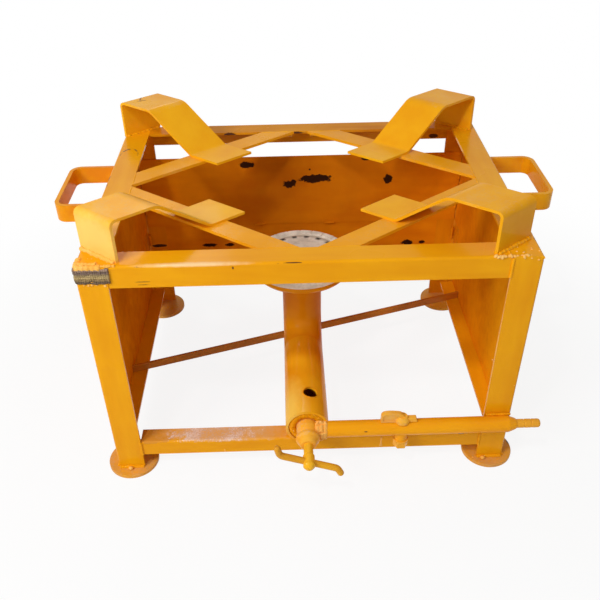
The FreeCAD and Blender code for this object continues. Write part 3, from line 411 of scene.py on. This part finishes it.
# Welds: one run of ripples is modelled, and copies of it are laid along every seam and brushed
# over with the enamel, so that they show as soft lumps.
bpy.ops.object.select_all(action="DESELECT")
ripple_radius, ripple_length = 0.002, 0.01
bpy.ops.mesh.primitive_circle_add(vertices=10, radius=ripple_radius, fill_type="NGON",
                                  rotation=(0, math.radians(90), 0))
ripples = bpy.context.object
ripples.name = "ripples"
bpy.ops.object.mode_set(mode="EDIT")
for swell in (1.2, 1.1, 0.93, 0.82) * 5:
    bpy.ops.mesh.extrude_region_move(TRANSFORM_OT_translate={"value": (ripple_length / 20, 0, 0)})
    bpy.ops.transform.resize(value=(1, swell, swell), center_override=(0, 0, 0))
bpy.ops.mesh.select_all(action="SELECT")
bpy.ops.mesh.normals_make_consistent(inside=False)
bpy.ops.object.mode_set(mode="OBJECT")
bpy.ops.object.transform_apply(location=True, rotation=True, scale=True)

weld_lumps = bpy.data.textures.new("weld_lumps", "CLOUDS")
weld_lumps.noise_scale = 0.006
weld_enamel = enamel("weld_enamel", (40, 40, 40), lumps=0.6)
# A paler copy of the weld enamel: partly pale dry paint and drips, partly a painted highlight on
# weld lumps and spatter.
weld_pale_and_highlit = enamel("weld_pale_and_highlit", (40, 40, 40), thick=(0.97, 0.58, 0.17, 1),
                     thin=(0.93, 0.42, 0.05, 1), lumps=0.8)


def straight_seam(start, end, run=0.009):
    """Points a ripple run apart from start to end; a longer run has flatter, longer ripples."""
    start, end = Vector(start), Vector(end)
    count = max(1, round((end - start).length / run))
    return [start.lerp(end, step / count) for step in range(count + 1)]


def round_seam(centre, radius, axis):
    """Points a ripple run apart on a circle about an axis."""
    across = {"X": ((0, 1, 0), (0, 0, 1)), "Y": ((1, 0, 0), (0, 0, 1)),
              "Z": ((1, 0, 0), (0, 1, 0))}[axis]
    count = max(3, round(radius * math.tau / 0.008))
    points = []
    for step in range(count + 1):
        turn = math.radians(360 * step / count)
        points.append(Vector(centre) + Vector(across[0]) * radius * math.cos(turn)
                      + Vector(across[1]) * radius * math.sin(turn))
    return points


def stamp(model, placing):
    """Copy of a modelled piece, its own mesh moved by a matrix."""
    copy = model.copy()
    copy.data = model.data.copy()
    bpy.context.scene.collection.objects.link(copy)
    copy.data.transform(placing)
    return copy


def join_pieces(name, parts, paint, body):
    """One finished piece from loose parts."""
    bpy.ops.object.select_all(action="DESELECT")
    for part in parts:
        part.select_set(True)
    bpy.context.view_layer.objects.active = parts[0]
    bpy.ops.object.join()
    piece = bpy.context.object
    piece.name = name
    piece.data.name = name
    piece.data.materials.clear()
    piece.data.materials.append(paint)
    bpy.ops.object.shade_smooth()
    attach(piece, body)
    return piece


def lay_welds(name, seams, paint=weld_enamel, uneven=0.0012):
    """Ripple runs along seams, each a list of points and the radius of its bead."""
    overlap = 0.04
    runs = []
    for points, radius in seams:
        wide = radius / ripple_radius
        for start, end in zip(points, points[1:]):
            along = end - start
            long = along.length * (1 + 2 * overlap) / ripple_length
            turn = along.to_track_quat("X", "Z").to_matrix().to_4x4()
            runs.append(stamp(ripples, Matrix.Translation(start - along * overlap) @ turn
                              @ Matrix.Diagonal((long, wide, wide, 1))))
    piece = join_pieces(name, runs, paint, "stand")
    bpy.ops.object.modifier_add(type="DISPLACE")
    uneven_skin = piece.modifiers[-1]
    uneven_skin.texture = weld_lumps
    uneven_skin.texture_coords = "GLOBAL"
    uneven_skin.strength = uneven
    bpy.ops.object.modifier_apply(modifier=uneven_skin.name)


# Upright seams of the lower rails, the rear rail and the side rails on the legs; hand is -1 on
# the left and 1 on the right, and fore is -1 in front and 1 behind.
seams = []
for hand in (-1, 1):
    for x, y, low, high, bead in (
            (0.195, -0.1396, 0.0235, 0.0425, 0.0012), (0.2235, -0.1105, 0.0235, 0.042, 0.0012),
            (0.2235, 0.163, 0.0235, 0.042, 0.0012), (0.1952, 0.1922, 0.2605, 0.282, 0.0013),
            (0.2222, -0.112, 0.2595, 0.279, 0.0012)):
        seams.append((straight_seam((hand * x, y, low), (hand * x, y, high)), bead))
seams.append((straight_seam((0.1952, -0.1397, 0.2605), (0.1952, -0.1397, 0.282)), 0.0013))
seams.append((straight_seam((0.192, -0.137, 0.2845), (0.192, -0.121, 0.2845)), 0.001))
lay_welds("frame_welds", seams)

# Front left corner: the weld on the leg's head was never painted. Rows of bare beads wrap
# the corner, dark above, tan in the middle, with enamel run over the top and a few drips below.
rows = []
for height, radius in ((0.2805, 0.002), (0.2776, 0.0019), (0.275, 0.0017), (0.2723, 0.0018),
                       (0.2696, 0.0018), (0.267, 0.0016)):
    right = straight_seam((-0.1925, -0.1396, height), (-0.2225, -0.1396, height + 0.0004))
    left = straight_seam((-0.2246, -0.1375, height), (-0.2247, -0.1285, height - 0.0005))
    rows.append((right + left, radius))


def colour_bands(tree, along, stops):
    """Colour ramp whose stops, each a position and a tone, run from its first to its last."""
    node = put(tree, "ValToRGB", {"Fac": along})
    ramp = node.color_ramp
    for element, (position, tone) in zip(ramp.elements, (stops[0], stops[-1])):
        element.position, element.color = position, tone
    for position, tone in stops[1:-1]:
        ramp.elements.new(position).color = tone
    return node.outputs["Color"]


burnt_steel, burnt_tree, burnt_shader = new_material("burnt_weld_steel")
burnt_place = put(burnt_tree, "TexCoord").outputs["Object"]
burnt_axes = put(burnt_tree, "SeparateXYZ", {0: burnt_place})
burnt_stretch = calc_vector(burnt_tree, "MULTIPLY", burnt_place, (0.25, 0.25, 1.0))
burnt_grain = noise(burnt_tree, burnt_stretch, 900, 4, 0.65)
burnt_height = calc(burnt_tree, "MULTIPLY_ADD", burnt_grain, 0.007,
                    burnt_axes.outputs["Z"])
burnt_range = remap(burnt_tree, burnt_height, 0.2685, 0.286)
burnt_tone = colour_bands(burnt_tree, burnt_range, (
    (0.0, (0.17, 0.105, 0.05, 1)), (0.2, (0.12, 0.075, 0.04, 1)), (0.36, (0.30, 0.20, 0.075, 1)),
    (0.52, (0.44, 0.32, 0.135, 1)), (0.66, (0.31, 0.22, 0.10, 1)), (0.78, (0.15, 0.095, 0.07, 1)),
    (1.0, (0.30, 0.20, 0.14, 1))))
burnt_rough = remap(burnt_tree, burnt_grain, to_min=0.45, to_max=0.8)
burnt_metal = remap(burnt_tree, burnt_grain, to_min=0.35, to_max=0.1)
burnt_bump = put(burnt_tree, "Bump", {"Strength": 0.7, "Distance": 0.0009,
                                      "Height": burnt_grain})
feed(burnt_shader, {"Base Color": burnt_tone, "Roughness": burnt_rough,
                    "Metallic": burnt_metal,
                    "Normal": burnt_bump.outputs["Normal"]})
lay_welds("bare_corner_weld", rows, burnt_steel, uneven=0.0024)
lay_welds("corner_weld", [
    (straight_seam((-0.2228, -0.1382, 0.2828), (-0.2, -0.1384, 0.2826), run=0.024), 0.0027),
    (straight_seam((-0.2232, -0.137, 0.2832), (-0.2232, -0.124, 0.2832), run=0.014), 0.0024),
    (straight_seam((-0.2215, -0.134, 0.2842), (-0.205, -0.134, 0.2842), run=0.02), 0.0016)],
    weld_pale_and_highlit, uneven=0.0024)

bpy.ops.object.select_all(action="DESELECT")
bpy.ops.mesh.primitive_circle_add(vertices=10, radius=0.0007, fill_type="NGON",
                                  rotation=(math.radians(180), 0, 0))
drip = bpy.context.object
bpy.ops.object.mode_set(mode="EDIT")
for fall, swell in ((0.002, 0.8), (0.003, 0.9), (0.002, 1.15), (0.0011, 1.45), (0.0008, 1.1),
                    (0.0006, 0.75), (0.0003, 0.35)):
    bpy.ops.mesh.extrude_region_move(TRANSFORM_OT_translate={"value": (0, 0, -fall)})
    bpy.ops.transform.resize(value=(swell, swell, 1), center_override=(0, 0, 0))
bpy.ops.mesh.select_all(action="SELECT")
bpy.ops.mesh.normals_make_consistent(inside=False)
bpy.ops.object.mode_set(mode="OBJECT")
bpy.ops.object.transform_apply(location=True, rotation=True, scale=True)
drips = [
    stamp(drip, Matrix.Translation((x, y, z)) @ Matrix.Diagonal((wide, 0.7, length, 1)))
    for x, y, z, length, wide in (
        (-0.2175, -0.1404, 0.2685, 0.45, 1.3), (-0.2135, -0.1404, 0.2685, 0.55, 1.5),
        (-0.2098, -0.1404, 0.2685, 0.5, 1.3), (-0.2055, -0.1404, 0.2685, 0.45, 1.2),
        (-0.1975, -0.1404, 0.268, 0.6, 1.9), (0.081, -0.1392, 0.041, 1.6, 1.9),
        (-0.1, -0.1392, 0.0285, 0.5, 1), (0.139, 0.1917, 0.2605, 0.6, 1.2),
        (-0.052, 0.1917, 0.2605, 0.5, 1.2))]
join_pieces("enamel_drips", drips, weld_pale_and_highlit, "stand")
bpy.data.objects.remove(drip)


# Feet: a round disc under each leg, cut from plate, welded along the leg's two outer faces,
# with dirt and worn enamel round its edge.
disc_top = 0.0043
foot_enamel = enamel("foot_enamel", (20, 20, 60), thick=(0.86, 0.40, 0.03, 1),
                     thin=(0.68, 0.28, 0.03, 1), chips=[
    ((-0.2, -0.1565, 0.004), (0.005, 0.0025, 0.002)),
    ((0.2385, -0.118, 0.002), (0.003, 0.006, 0.003)),
    ((-0.2388, 0.18, 0.002), (0.003, 0.008, 0.003))])
for x, y in ((-0.2115, -0.127), (0.2115, -0.127), (-0.2115, 0.1795), (0.2115, 0.1795)):
    dust_and_light_over(foot_enamel, 0.3, (x, y, 0.004), (0.04, 0.04, 0.006), grain=300,
              tone=(0.60, 0.38, 0.22, 1), cover=0.1)
brush_on(foot_enamel, "foot_front_left", "foot_front_right", "foot_rear_left", "foot_rear_right")
seams = []
for hand in (-1, 1):
    for edge, inward in ((-0.14025, 1), (0.19275, -1)):
        for start, end in (((0.2235, edge), (0.196, edge)),
                           ((0.225, edge + inward * 0.0015), (0.225, edge + inward * 0.029))):
            seams.append((straight_seam((hand * start[0], start[1], disc_top),
                                        (hand * end[0], end[1], disc_top)), 0.0018))
lay_welds("foot_welds", seams)


# Grate: four flat bars let in flush between the top rails as a diamond, their ends welded
# from below and tacked on top.
grate_enamel = enamel("grate_enamel", (22, 22, 40), thick=(0.94, 0.40, 0.008, 1))
dust_and_light_over(grate_enamel, 0.14, (0, 0.026, 0.2845), (0.2, 0.17, 0.01), grain=380)
brush_on(grate_enamel, "grate_bar_front_left", "grate_bar_front_right", "grate_bar_rear_left",
         "grate_bar_rear_right")
seams = []
for hand in (-1, 1):
    for fore in (-1, 1):
        for height, bead, x_from, x_to, y_from, y_to in (
                (0.2838, 0.0009, 0.0115, 0.05, 0.0035, 0.03),
                (0.2805, 0.002, 0.012, 0.048, 0.004, 0.029)):
            x, y = hand * 0.1945, frame_middle + fore * 0.139
            seams.append((straight_seam((hand * x_from, y, height), (hand * x_to, y, height)),
                          bead))
            seams.append((straight_seam((x, frame_middle + fore * y_from, height),
                                        (x, frame_middle + fore * y_to, height)), bead))
lay_welds("grate_welds", seams, uneven=0.0007)


# Pot supports: flat strap bent by hand, stood on the frame's corners, with the tab on the
# grate bar. Pots have rubbed their flat tops and edges. A heavy weld runs along each foot.
frame_depth, frame_width = 0.333, 0.450
corner = math.atan2(frame_depth, frame_width)
support_enamel = enamel("support_enamel", (30, 30, 30), thick=(0.95, 0.47, 0.01, 1),
                        thin=(0.88, 0.37, 0.005, 1), chips=[
    ((-0.2, 0.171, 0.33), (0.0011, 0.006, 0.002)),
    ((-0.196, 0.166, 0.33), (0.0045, 0.0009, 0.002)),
    ((-0.2, 0.163, 0.33), (0.003, 0.0007, 0.002))], bare=(0.42, 0.2, 0.06, 1))
for hand in (-1, 1):
    for fore in (-1, 1):
        dust_and_light_over(support_enamel, 0.16, (hand * 0.178, 0.026 + fore * 0.131, 0.33),
                  (0.034, 0.034, 0.004), grain=360)
# Painted light and shade on the front supports' plates: the left one is made pale yellow as a
# painted highlight, the right one deep orange as painted shade.
dust_and_light_over(support_enamel, 0.6, (-0.217, -0.133, 0.302), (0.05, 0.05, 0.04), grain=60,
          tone=(1.0, 0.72, 0.22, 1), cover=0.7, ragged=0.3, soft=0.5)
dust_and_light_over(support_enamel, 0.5, (0.217, -0.133, 0.308), (0.05, 0.05, 0.034), grain=60,
          tone=(0.72, 0.28, 0.002, 1), cover=0.6, ragged=0.3, soft=0.6)
brush_on(support_enamel, "pot_support_front_left", "pot_support_front_right",
         "pot_support_rear_left", "pot_support_rear_right")
seams = []
for hand, fore, reach, back, bead in ((-1, -1, 0.2545, 0.006, 0.0021), (1, -1, 0.248, 0, 0.002),
                                      (-1, 1, 0.2555, 0, 0.0018), (1, 1, 0.2475, 0, 0.0018)):
    out = Vector((hand * math.cos(corner), fore * math.sin(corner), 0))
    width = Vector((hand * math.cos(corner), -fore * math.sin(corner), 0))
    for aside, height, half_width, thick in ((0.0008, 0.2848, 0.0225, bead),
                                             (-0.0038, 0.2845, 0.0215, 0.0014)):
        foot = Vector((0, frame_middle + back, height)) + out * (reach + aside)
        half = width * half_width
        seams.append((straight_seam(foot - half, foot + half, run=0.022), thick))
lay_welds("support_welds", seams[2:], uneven=0.0022)
# The front supports' foot welds are made pale: partly pale paint, partly a painted highlight along
# them.
lay_welds("pale_highlit_weld", seams[:2] + [
    (straight_seam((-0.199, -0.1383, 0.2842), (-0.186, -0.1378, 0.2842), run=0.012), 0.0012)],
    weld_pale_and_highlit, uneven=0.003)

# Spatter: drops of metal that stuck to the frame round the front supports' welds, most of them
# in a row along the arris at the right, and a few on the legs and foot discs.
spatter_rule = random.Random(5)
bpy.ops.object.select_all(action="DESELECT")
bpy.ops.mesh.primitive_ico_sphere_add(subdivisions=1, radius=0.001)
drop = bpy.context.object
bpy.ops.object.mode_set(mode="EDIT")
bpy.ops.mesh.select_all(action="SELECT")
bpy.ops.transform.resize(value=(1.15, 1, 0.65), center_override=(0, 0, 0))
bpy.ops.object.mode_set(mode="OBJECT")
drops = []
row_start, row_step, row_count = 0.1775, 0.0021, 17
for step in range(row_count):
    x = row_start + row_step * step + spatter_rule.uniform(-0.0006, 0.0006)
    y = -0.1386 + spatter_rule.uniform(-0.0008, 0.0012)
    z = 0.2843 + spatter_rule.uniform(-0.0006, 0.0004)
    turn = Matrix.Rotation(spatter_rule.uniform(0, 6), 4, "Y")
    size = Matrix.Scale(spatter_rule.uniform(1.2, 2.6), 4)
    drops.append(stamp(drop, Matrix.Translation((x, y, z)) @ turn @ size))
for hand, count in ((-1, 9), (1, 7)):
    for _ in range(count):
        size = spatter_rule.uniform(0.45, 1.25)
        x = hand * spatter_rule.uniform(0.19, 0.2225)
        y = -0.1375 + spatter_rule.uniform(0, 0.014)
        turn = Matrix.Rotation(spatter_rule.uniform(0, 6), 4, "Z")
        drops.append(stamp(drop, Matrix.Translation((x, y, 0.2847)) @ turn
                           @ Matrix.Scale(size, 4)))
for x, y, z, size in ((0.212, -0.1403, 0.2825, 1.1), (0.219, -0.1403, 0.2805, 1.3),
                      (0.205, -0.1403, 0.2832, 0.9), (0.2012, -0.1441, 0.0063, 2.8),
                      (0.1905, -0.142, 0.0045, 1.2), (-0.2108, -0.1441, 0.0063, 2.8),
                      (0.1924, -0.1401, 0.1546, 0.8), (0.2222, -0.1401, 0.1164, 0.8)):
    drops.append(stamp(drop, Matrix.Translation((x, y, z)) @ Matrix.Scale(size, 4)))
join_pieces("spatter", drops, weld_pale_and_highlit, "stand")
bpy.data.objects.remove(drop)


# Carrying handles: flat strap on edge bent to a U, butted against the side rails and welded
# down both sides of each end. The enamel is rubbed where hands hold it.
handle_enamel = enamel("handle_enamel", (50, 12, 50), thin=(0.78, 0.255, 0.006, 1), chips=[
    ((-0.277, 0.055, 0.2612), (0.003, 0.014, 0.0014)),
    ((0.277, 0.02, 0.2612), (0.003, 0.012, 0.0014)),
    ((0.25, -0.0085, 0.261), (0.008, 0.002, 0.0012))], bare=(0.2, 0.09, 0.04, 1))
brush_on(handle_enamel, "carry_handle_left", "carry_handle_right")
seams = []
for hand in (-1, 1):
    for y in (0.08845, 0.08355, -0.00905, -0.00395):
        seams.append((straight_seam((hand * 0.2256, y, 0.261), (hand * 0.2256, y, 0.278)), 0.0014))
lay_welds("handle_welds", seams)


# Wind shields: sheet on three sides, an upper and a lower one with a lap, welded inside the
# frame. Tack welds burnt the enamel through high up, a row of near-black marks runs across the
# lower sheets, and the enamel is darker and redder than the frame's as painted shade, darker
# still round the burner, partly heat stain and partly painted shade.
shield_enamel = enamel("shield_enamel", (9, 60, 45), thick=(0.90, 0.31, 0.004, 1), chips=[
    ((-0.0167, 0.18825, 0.1976), (0.0096, 0.004, 0.0056), 1.7),
    ((-0.0105, 0.18825, 0.2012), (0.004, 0.004, 0.0034), 0.8),
    ((0.0214, 0.18825, 0.2052), (0.0225, 0.004, 0.006), 1.7),
    ((0.1202, 0.18825, 0.2016), (0.0062, 0.004, 0.0068), 1.5),
    ((-0.0737, 0.18825, 0.228), (0.010, 0.004, 0.0048), 1.5),
    ((0.0885, 0.18825, 0.2346), (0.0064, 0.004, 0.0044), 1.5),
    ((0.012, 0.18825, 0.219), (0.0014, 0.003, 0.0014), 0.3),
    # The last four marks are a row of near-black marks across the lower sheets at about 0.1 m high.
    ((-0.1345, 0.18975, 0.1009), (0.0105, 0.004, 0.0031), 1.5),
    ((-0.105, 0.18975, 0.1005), (0.0065, 0.004, 0.0029), 1.5),
    ((0.1545, 0.18975, 0.097), (0.0086, 0.004, 0.0045), 1.5),
    ((0.176, 0.18975, 0.097), (0.0052, 0.004, 0.0028), 1.4)],
    thin=(0.74, 0.205, 0.003, 1), bare=(0.035, 0.011, 0.005, 1), shine=(0, 0))
# The shield is darker round the burner: partly heat stain, partly painted shade deep inside the
# shields.
heat_tree = shield_enamel.node_tree
heat_place = put(heat_tree, "TexCoord").outputs["Object"]
burner_x = -0.0045
heat_away = calc_vector(heat_tree, "SUBTRACT", heat_place, (burner_x, frame_middle, 0.2))
heat_far = calc_vector(heat_tree, "LENGTH", heat_away)
heat_cloud = noise(heat_tree, heat_place, 15, 4)
heat_reach = calc(heat_tree, "MULTIPLY_ADD", heat_cloud, -0.11, heat_far)
heat_and_shade_mask = remap(heat_tree, heat_reach, 0.185, 0.1, to_max=0.75)
heat_chips = heat_tree.nodes["Principled BSDF"].inputs["Base Color"].links[0].from_node
heat_base = heat_chips.inputs[6].links[0].from_socket
feed(heat_chips, {6: mix_colour(heat_tree, heat_and_shade_mask, heat_base, (0.42, 0.105, 0.004, 1))})

# A painted pool of light: at the front of the right side the shield is made bright yellow where
# light falls in through the open front.
dust_and_light_over(shield_enamel, 0.8, (0.2195, -0.15, 0.16), (0.02, 0.16, 0.2), grain=40,
          tone=(1.0, 0.50, 0.01, 1), cover=0.8, ragged=0.5, soft=0.8)
brush_on(shield_enamel, "shield_rear_upper", "shield_rear_lower", "shield_left_upper",
         "shield_left_lower", "shield_right_upper", "shield_right_lower")
seams = []
for hand in (-1, 1):
    for start, end in ((0.2, 0.222), (0.155, 0.166), (0.105, 0.122), (0.062, 0.075)):
        seams.append((straight_seam((hand * 0.2185, 0.187, start), (hand * 0.2185, 0.187, end)),
                      0.0012))
for middle in (-0.15, -0.06, 0.04, 0.14):
    seams.append((straight_seam((middle - 0.007, 0.1884, 0.1347), (middle + 0.007, 0.1884, 0.1347)),
                  0.0013))
lay_welds("shield_welds", seams, shield_enamel)


# Burner pipe: the mixing tube lies on the front lower rail, turns up through the elbow and
# carries the burner pot. Water pipe, welded, brushed with the same enamel, a little glossier.
# The elbow and pot get a darker copy as painted shade under the grate; the tube gets a
# yellower one, partly thicker paint and partly painted light.
pipe_chips = [
    ((-0.0267, -0.118, 0.0665), (0.0025, 0.009, 0.0035), 0.8),
    ((0.0195, -0.085, 0.07), (0.0025, 0.006, 0.003), 0.8)]
burner_enamel_shaded = enamel("burner_enamel_shaded", (14, 14, 14), thick=(0.90, 0.36, 0.006, 1),
                       thin=(0.74, 0.235, 0.004, 1), chips=pipe_chips, shine=(0.02, 0.12))
tube_enamel_thick_and_lit = enamel("tube_enamel_thick_and_lit", (14, 14, 14), thick=(0.95, 0.46, 0.012, 1),
                     thin=(0.78, 0.27, 0.004, 1), chips=pipe_chips, shine=(0.02, 0.22))
brush_on(burner_enamel_shaded, "burner_elbow", "burner_pot")
# A painted pool of light: the tube's front and left side are made yellow where the lamp on the left
# lights them.
dust_and_light_over(tube_enamel_thick_and_lit, 0.7, (-0.024, -0.133, 0.082), (0.022, 0.055, 0.034), grain=60,
          tone=(1.0, 0.68, 0.12, 1), cover=0.75, ragged=0.3, soft=0.8)
brush_on(tube_enamel_thick_and_lit, "mixing_tube", "end_plate")
tube_height, tube_radius = 0.06765, 0.02415
seams = [
    (round_seam((burner_x, frame_middle, 0.156), 0.0246, "Z"), 0.0019),
    (straight_seam((-0.0112, -0.139, 0.0442), (-0.0112, -0.1215, 0.0442)), 0.0018),
    (straight_seam((0.0022, -0.139, 0.0442), (0.0022, -0.1215, 0.0442)), 0.0018),
    (round_seam((burner_x, -0.1418, tube_height), 0.0172, "Y"), 0.0042)]
lay_welds("burner_welds", seams)

bpy.ops.object.select_all(action="DESELECT")
bpy.ops.mesh.primitive_torus_add(major_radius=0.00845, minor_radius=0.0006, major_segments=40,
                                 minor_segments=8, location=(0, 0, 0))
burr = bpy.context.object
bpy.ops.object.modifier_add(type="DISPLACE")
burr.modifiers[-1].texture = weld_lumps
burr.modifiers[-1].strength = 0.0006
bpy.ops.object.modifier_apply(modifier=burr.modifiers[-1].name)
bpy.ops.object.mode_set(mode="EDIT")
bpy.ops.mesh.select_all(action="SELECT")
bpy.ops.transform.translate(value=(0, 0, tube_radius))
bpy.ops.object.mode_set(mode="OBJECT")
for vertex in burr.data.vertices:
    vertex.co.z -= tube_radius - math.sqrt(tube_radius ** 2 - min(abs(vertex.co.x), 0.02) ** 2)
burr.data.transform(Matrix.Translation((burner_x, -0.11475, tube_height))
                    @ Matrix.Rotation(math.radians(12), 4, "Y"))
join_pieces("air_hole_burr", [burr], burner_enamel_shaded, "stand")


# Burner cap: a cast ring of ports on a flat lid, never painted, greyed and mottled by heat,
# with lighter turned rings near its rim.
cap_iron, cap_tree, cap_shader = new_material("heated_cap_iron")
cap_place = put(cap_tree, "TexCoord").outputs["Object"]
cap_away = calc_vector(cap_tree, "SUBTRACT", cap_place, (burner_x, frame_middle, 0))
cap_flat = calc_vector(cap_tree, "MULTIPLY", cap_away, (1, 1, 0))
cap_far = calc_vector(cap_tree, "LENGTH", cap_flat)
cap_mottle = noise(cap_tree, cap_place, 95, 5, 0.62)
cap_span = remap(cap_tree, cap_far, from_max=0.062)
cap_rings = colour_bands(cap_tree, cap_span, (
    (0.0, (0.90, 0.84, 0.73, 1)), (0.5, (0.90, 0.78, 0.63, 1)), (0.66, (0.95, 0.86, 0.74, 1)),
    (0.78, (0.46, 0.35, 0.25, 1)), (0.86, (0.90, 0.80, 0.67, 1)), (0.92, (0.97, 0.89, 0.78, 1)),
    (1.0, (0.88, 0.75, 0.60, 1))))
cap_stain = remap(cap_tree, cap_mottle, 0.42, 0.68, to_max=0.5)
cap_tone = mix_colour(cap_tree, cap_stain, cap_rings, (0.40, 0.34, 0.26, 1))

# A short mark of soot lies across each of the ports.
port_count, port_ring = 18, 0.0448
cap_axes = put(cap_tree, "SeparateXYZ", {0: cap_flat})
cap_turn = calc(cap_tree, "ARCTAN2", cap_axes.outputs["Y"], cap_axes.outputs["X"])
cap_ports = calc(cap_tree, "MULTIPLY", cap_turn, port_count)
cap_wave = calc(cap_tree, "COSINE", cap_ports)
cap_lick = remap(cap_tree, cap_wave, -0.1, 0.7, to_max=0.85)
cap_aside = calc(cap_tree, "SUBTRACT", cap_far, port_ring)
cap_off = calc(cap_tree, "ABSOLUTE", cap_aside)
cap_reach = remap(cap_tree, cap_off, 0.0055, 0.0025)
cap_soot = calc(cap_tree, "MULTIPLY", cap_lick, cap_reach)
cap_black = mix_colour(cap_tree, cap_soot, cap_tone, (0.09, 0.07, 0.05, 1))
cap_rough = remap(cap_tree, cap_mottle, to_min=0.5, to_max=0.9)
cap_metal = remap(cap_tree, cap_mottle, 0.4, 0.65, 0.1, 0.0)
cap_bump = put(cap_tree, "Bump", {"Strength": 0.55, "Distance": 0.0007,
                                  "Height": cap_mottle})
feed(cap_shader, {"Base Color": cap_black, "Roughness": cap_rough,
                  "Metallic": cap_metal, "Normal": cap_bump.outputs["Normal"]})
brush_on(cap_iron, "burner_cap")


# Gas jet: turned brass, screwed into the end plate, with tool marks round its axis and a
# brown tarnish.
jet_brass, jet_tree, jet_shader = new_material("tarnished_jet_brass")
jet_place = put(jet_tree, "TexCoord").outputs["Object"]
jet_turned = calc_vector(jet_tree, "MULTIPLY", jet_place, (40, 2600, 40))
jet_marks = noise(jet_tree, jet_turned, 1, 3)
jet_tone = mix_colour(jet_tree, jet_marks, (0.72, 0.53, 0.24, 1), (0.3, 0.18, 0.07, 1))
jet_rough = remap(jet_tree, jet_marks, to_min=0.22, to_max=0.5)
jet_bump = put(jet_tree, "Bump", {"Strength": 0.3, "Distance": 0.0002,
                                  "Height": jet_marks})
feed(jet_shader, {"Base Color": jet_tone, "Roughness": jet_rough,
                  "Metallic": 1.0, "Normal": jet_bump.outputs["Normal"]})
brush_on(jet_brass, "gas_jet")


# Needle valve: body, packing nut, spindle and T-bar, brass and steel under the same enamel,
# paler on the body and spindle, with a little dust on the body and a ragged weld where the gas pipe
# joins it.
valve_enamel = enamel("valve_enamel", (30, 30, 30), thick=(0.97, 0.53, 0.06, 1),
                      thin=(0.90, 0.38, 0.02, 1), lumps=0.9)
dust_and_light_over(valve_enamel, 0.6, (burner_x, -0.152, 0.072), (0.02, 0.016, 0.016))
brush_on(valve_enamel, "valve_body", "packing_nut")
grip_enamel = enamel("grip_enamel", (30, 30, 30), thick=(0.88, 0.43, 0.02, 1),
                     thin=(0.68, 0.29, 0.02, 1), lumps=0.6)
brush_on(grip_enamel, "tee_handle")
spindle_enamel = enamel("spindle_enamel", (30, 30, 30), thick=(0.98, 0.55, 0.03, 1),
                        thin=(0.88, 0.42, 0.015, 1), lumps=0.6)
brush_on(spindle_enamel, "valve_spindle")
seams = [(round_seam((x, y, 0.06715), radius, axis), bead) for x, y, radius, axis, bead in (
    (0.0105, -0.14955, 0.0088, "X", 0.003), (0.0148, -0.14955, 0.0085, "X", 0.0024),
    (0.007, -0.1505, 0.0085, "X", 0.0026), (burner_x, -0.1421, 0.0118, "Y", 0.0022))]
lay_welds("valve_welds", seams, weld_pale_and_highlit, uneven=0.0036)


# Gas pipe: runs from the valve to the front right leg, is welded to it above and below, and
# ends in the hose nozzle, turned steel with two grooves.
line_enamel = enamel("gas_line_enamel", (8, 40, 40), thick=(0.94, 0.41, 0.008, 1),
                     thin=(0.86, 0.31, 0.005, 1), chips=[
    ((0.183, -0.1545, 0.0592), (0.0045, 0.004, 0.0014)),
    ((0.162, -0.1545, 0.0585), (0.005, 0.004, 0.0012)),
    ((0.06, -0.1585, 0.0702), (0.0018, 0.002, 0.0008), 0.5)], bare=(0.16, 0.06, 0.02, 1))
nozzle_enamel = enamel("nozzle_enamel", (50, 30, 30), thick=(0.9, 0.42, 0.03, 1),
                       thin=(0.72, 0.3, 0.03, 1))
brush_on(line_enamel, "gas_pipe")
brush_on(nozzle_enamel, "hose_barb")
seams = [(straight_seam((0.197, -0.1418, height), (0.2235, -0.1418, height)), bead)
         for height, bead in ((0.0745, 0.0013), (0.0598, 0.0022))]
lay_welds("pipe_welds", seams)


# Plug cock: tapered plug turned by a cast winged lever, held below by a washer and a nut.
# Painted together with the pipe, with a little dust in the enamel.
cock_enamel = enamel("cock_enamel", (30, 30, 30), thick=(0.96, 0.50, 0.05, 1),
                     thin=(0.80, 0.30, 0.01, 1), lumps=0.9)
dust_and_light_over(cock_enamel, 0.25, (0.1, -0.15, 0.08), (0.03, 0.02, 0.02))
brush_on(cock_enamel, "cock_plug", "cock_lever", "cock_washer", "cock_nut")

# The run of ripples was only copied from, so it goes. The sizes are written down.
bpy.data.objects.remove(ripples)
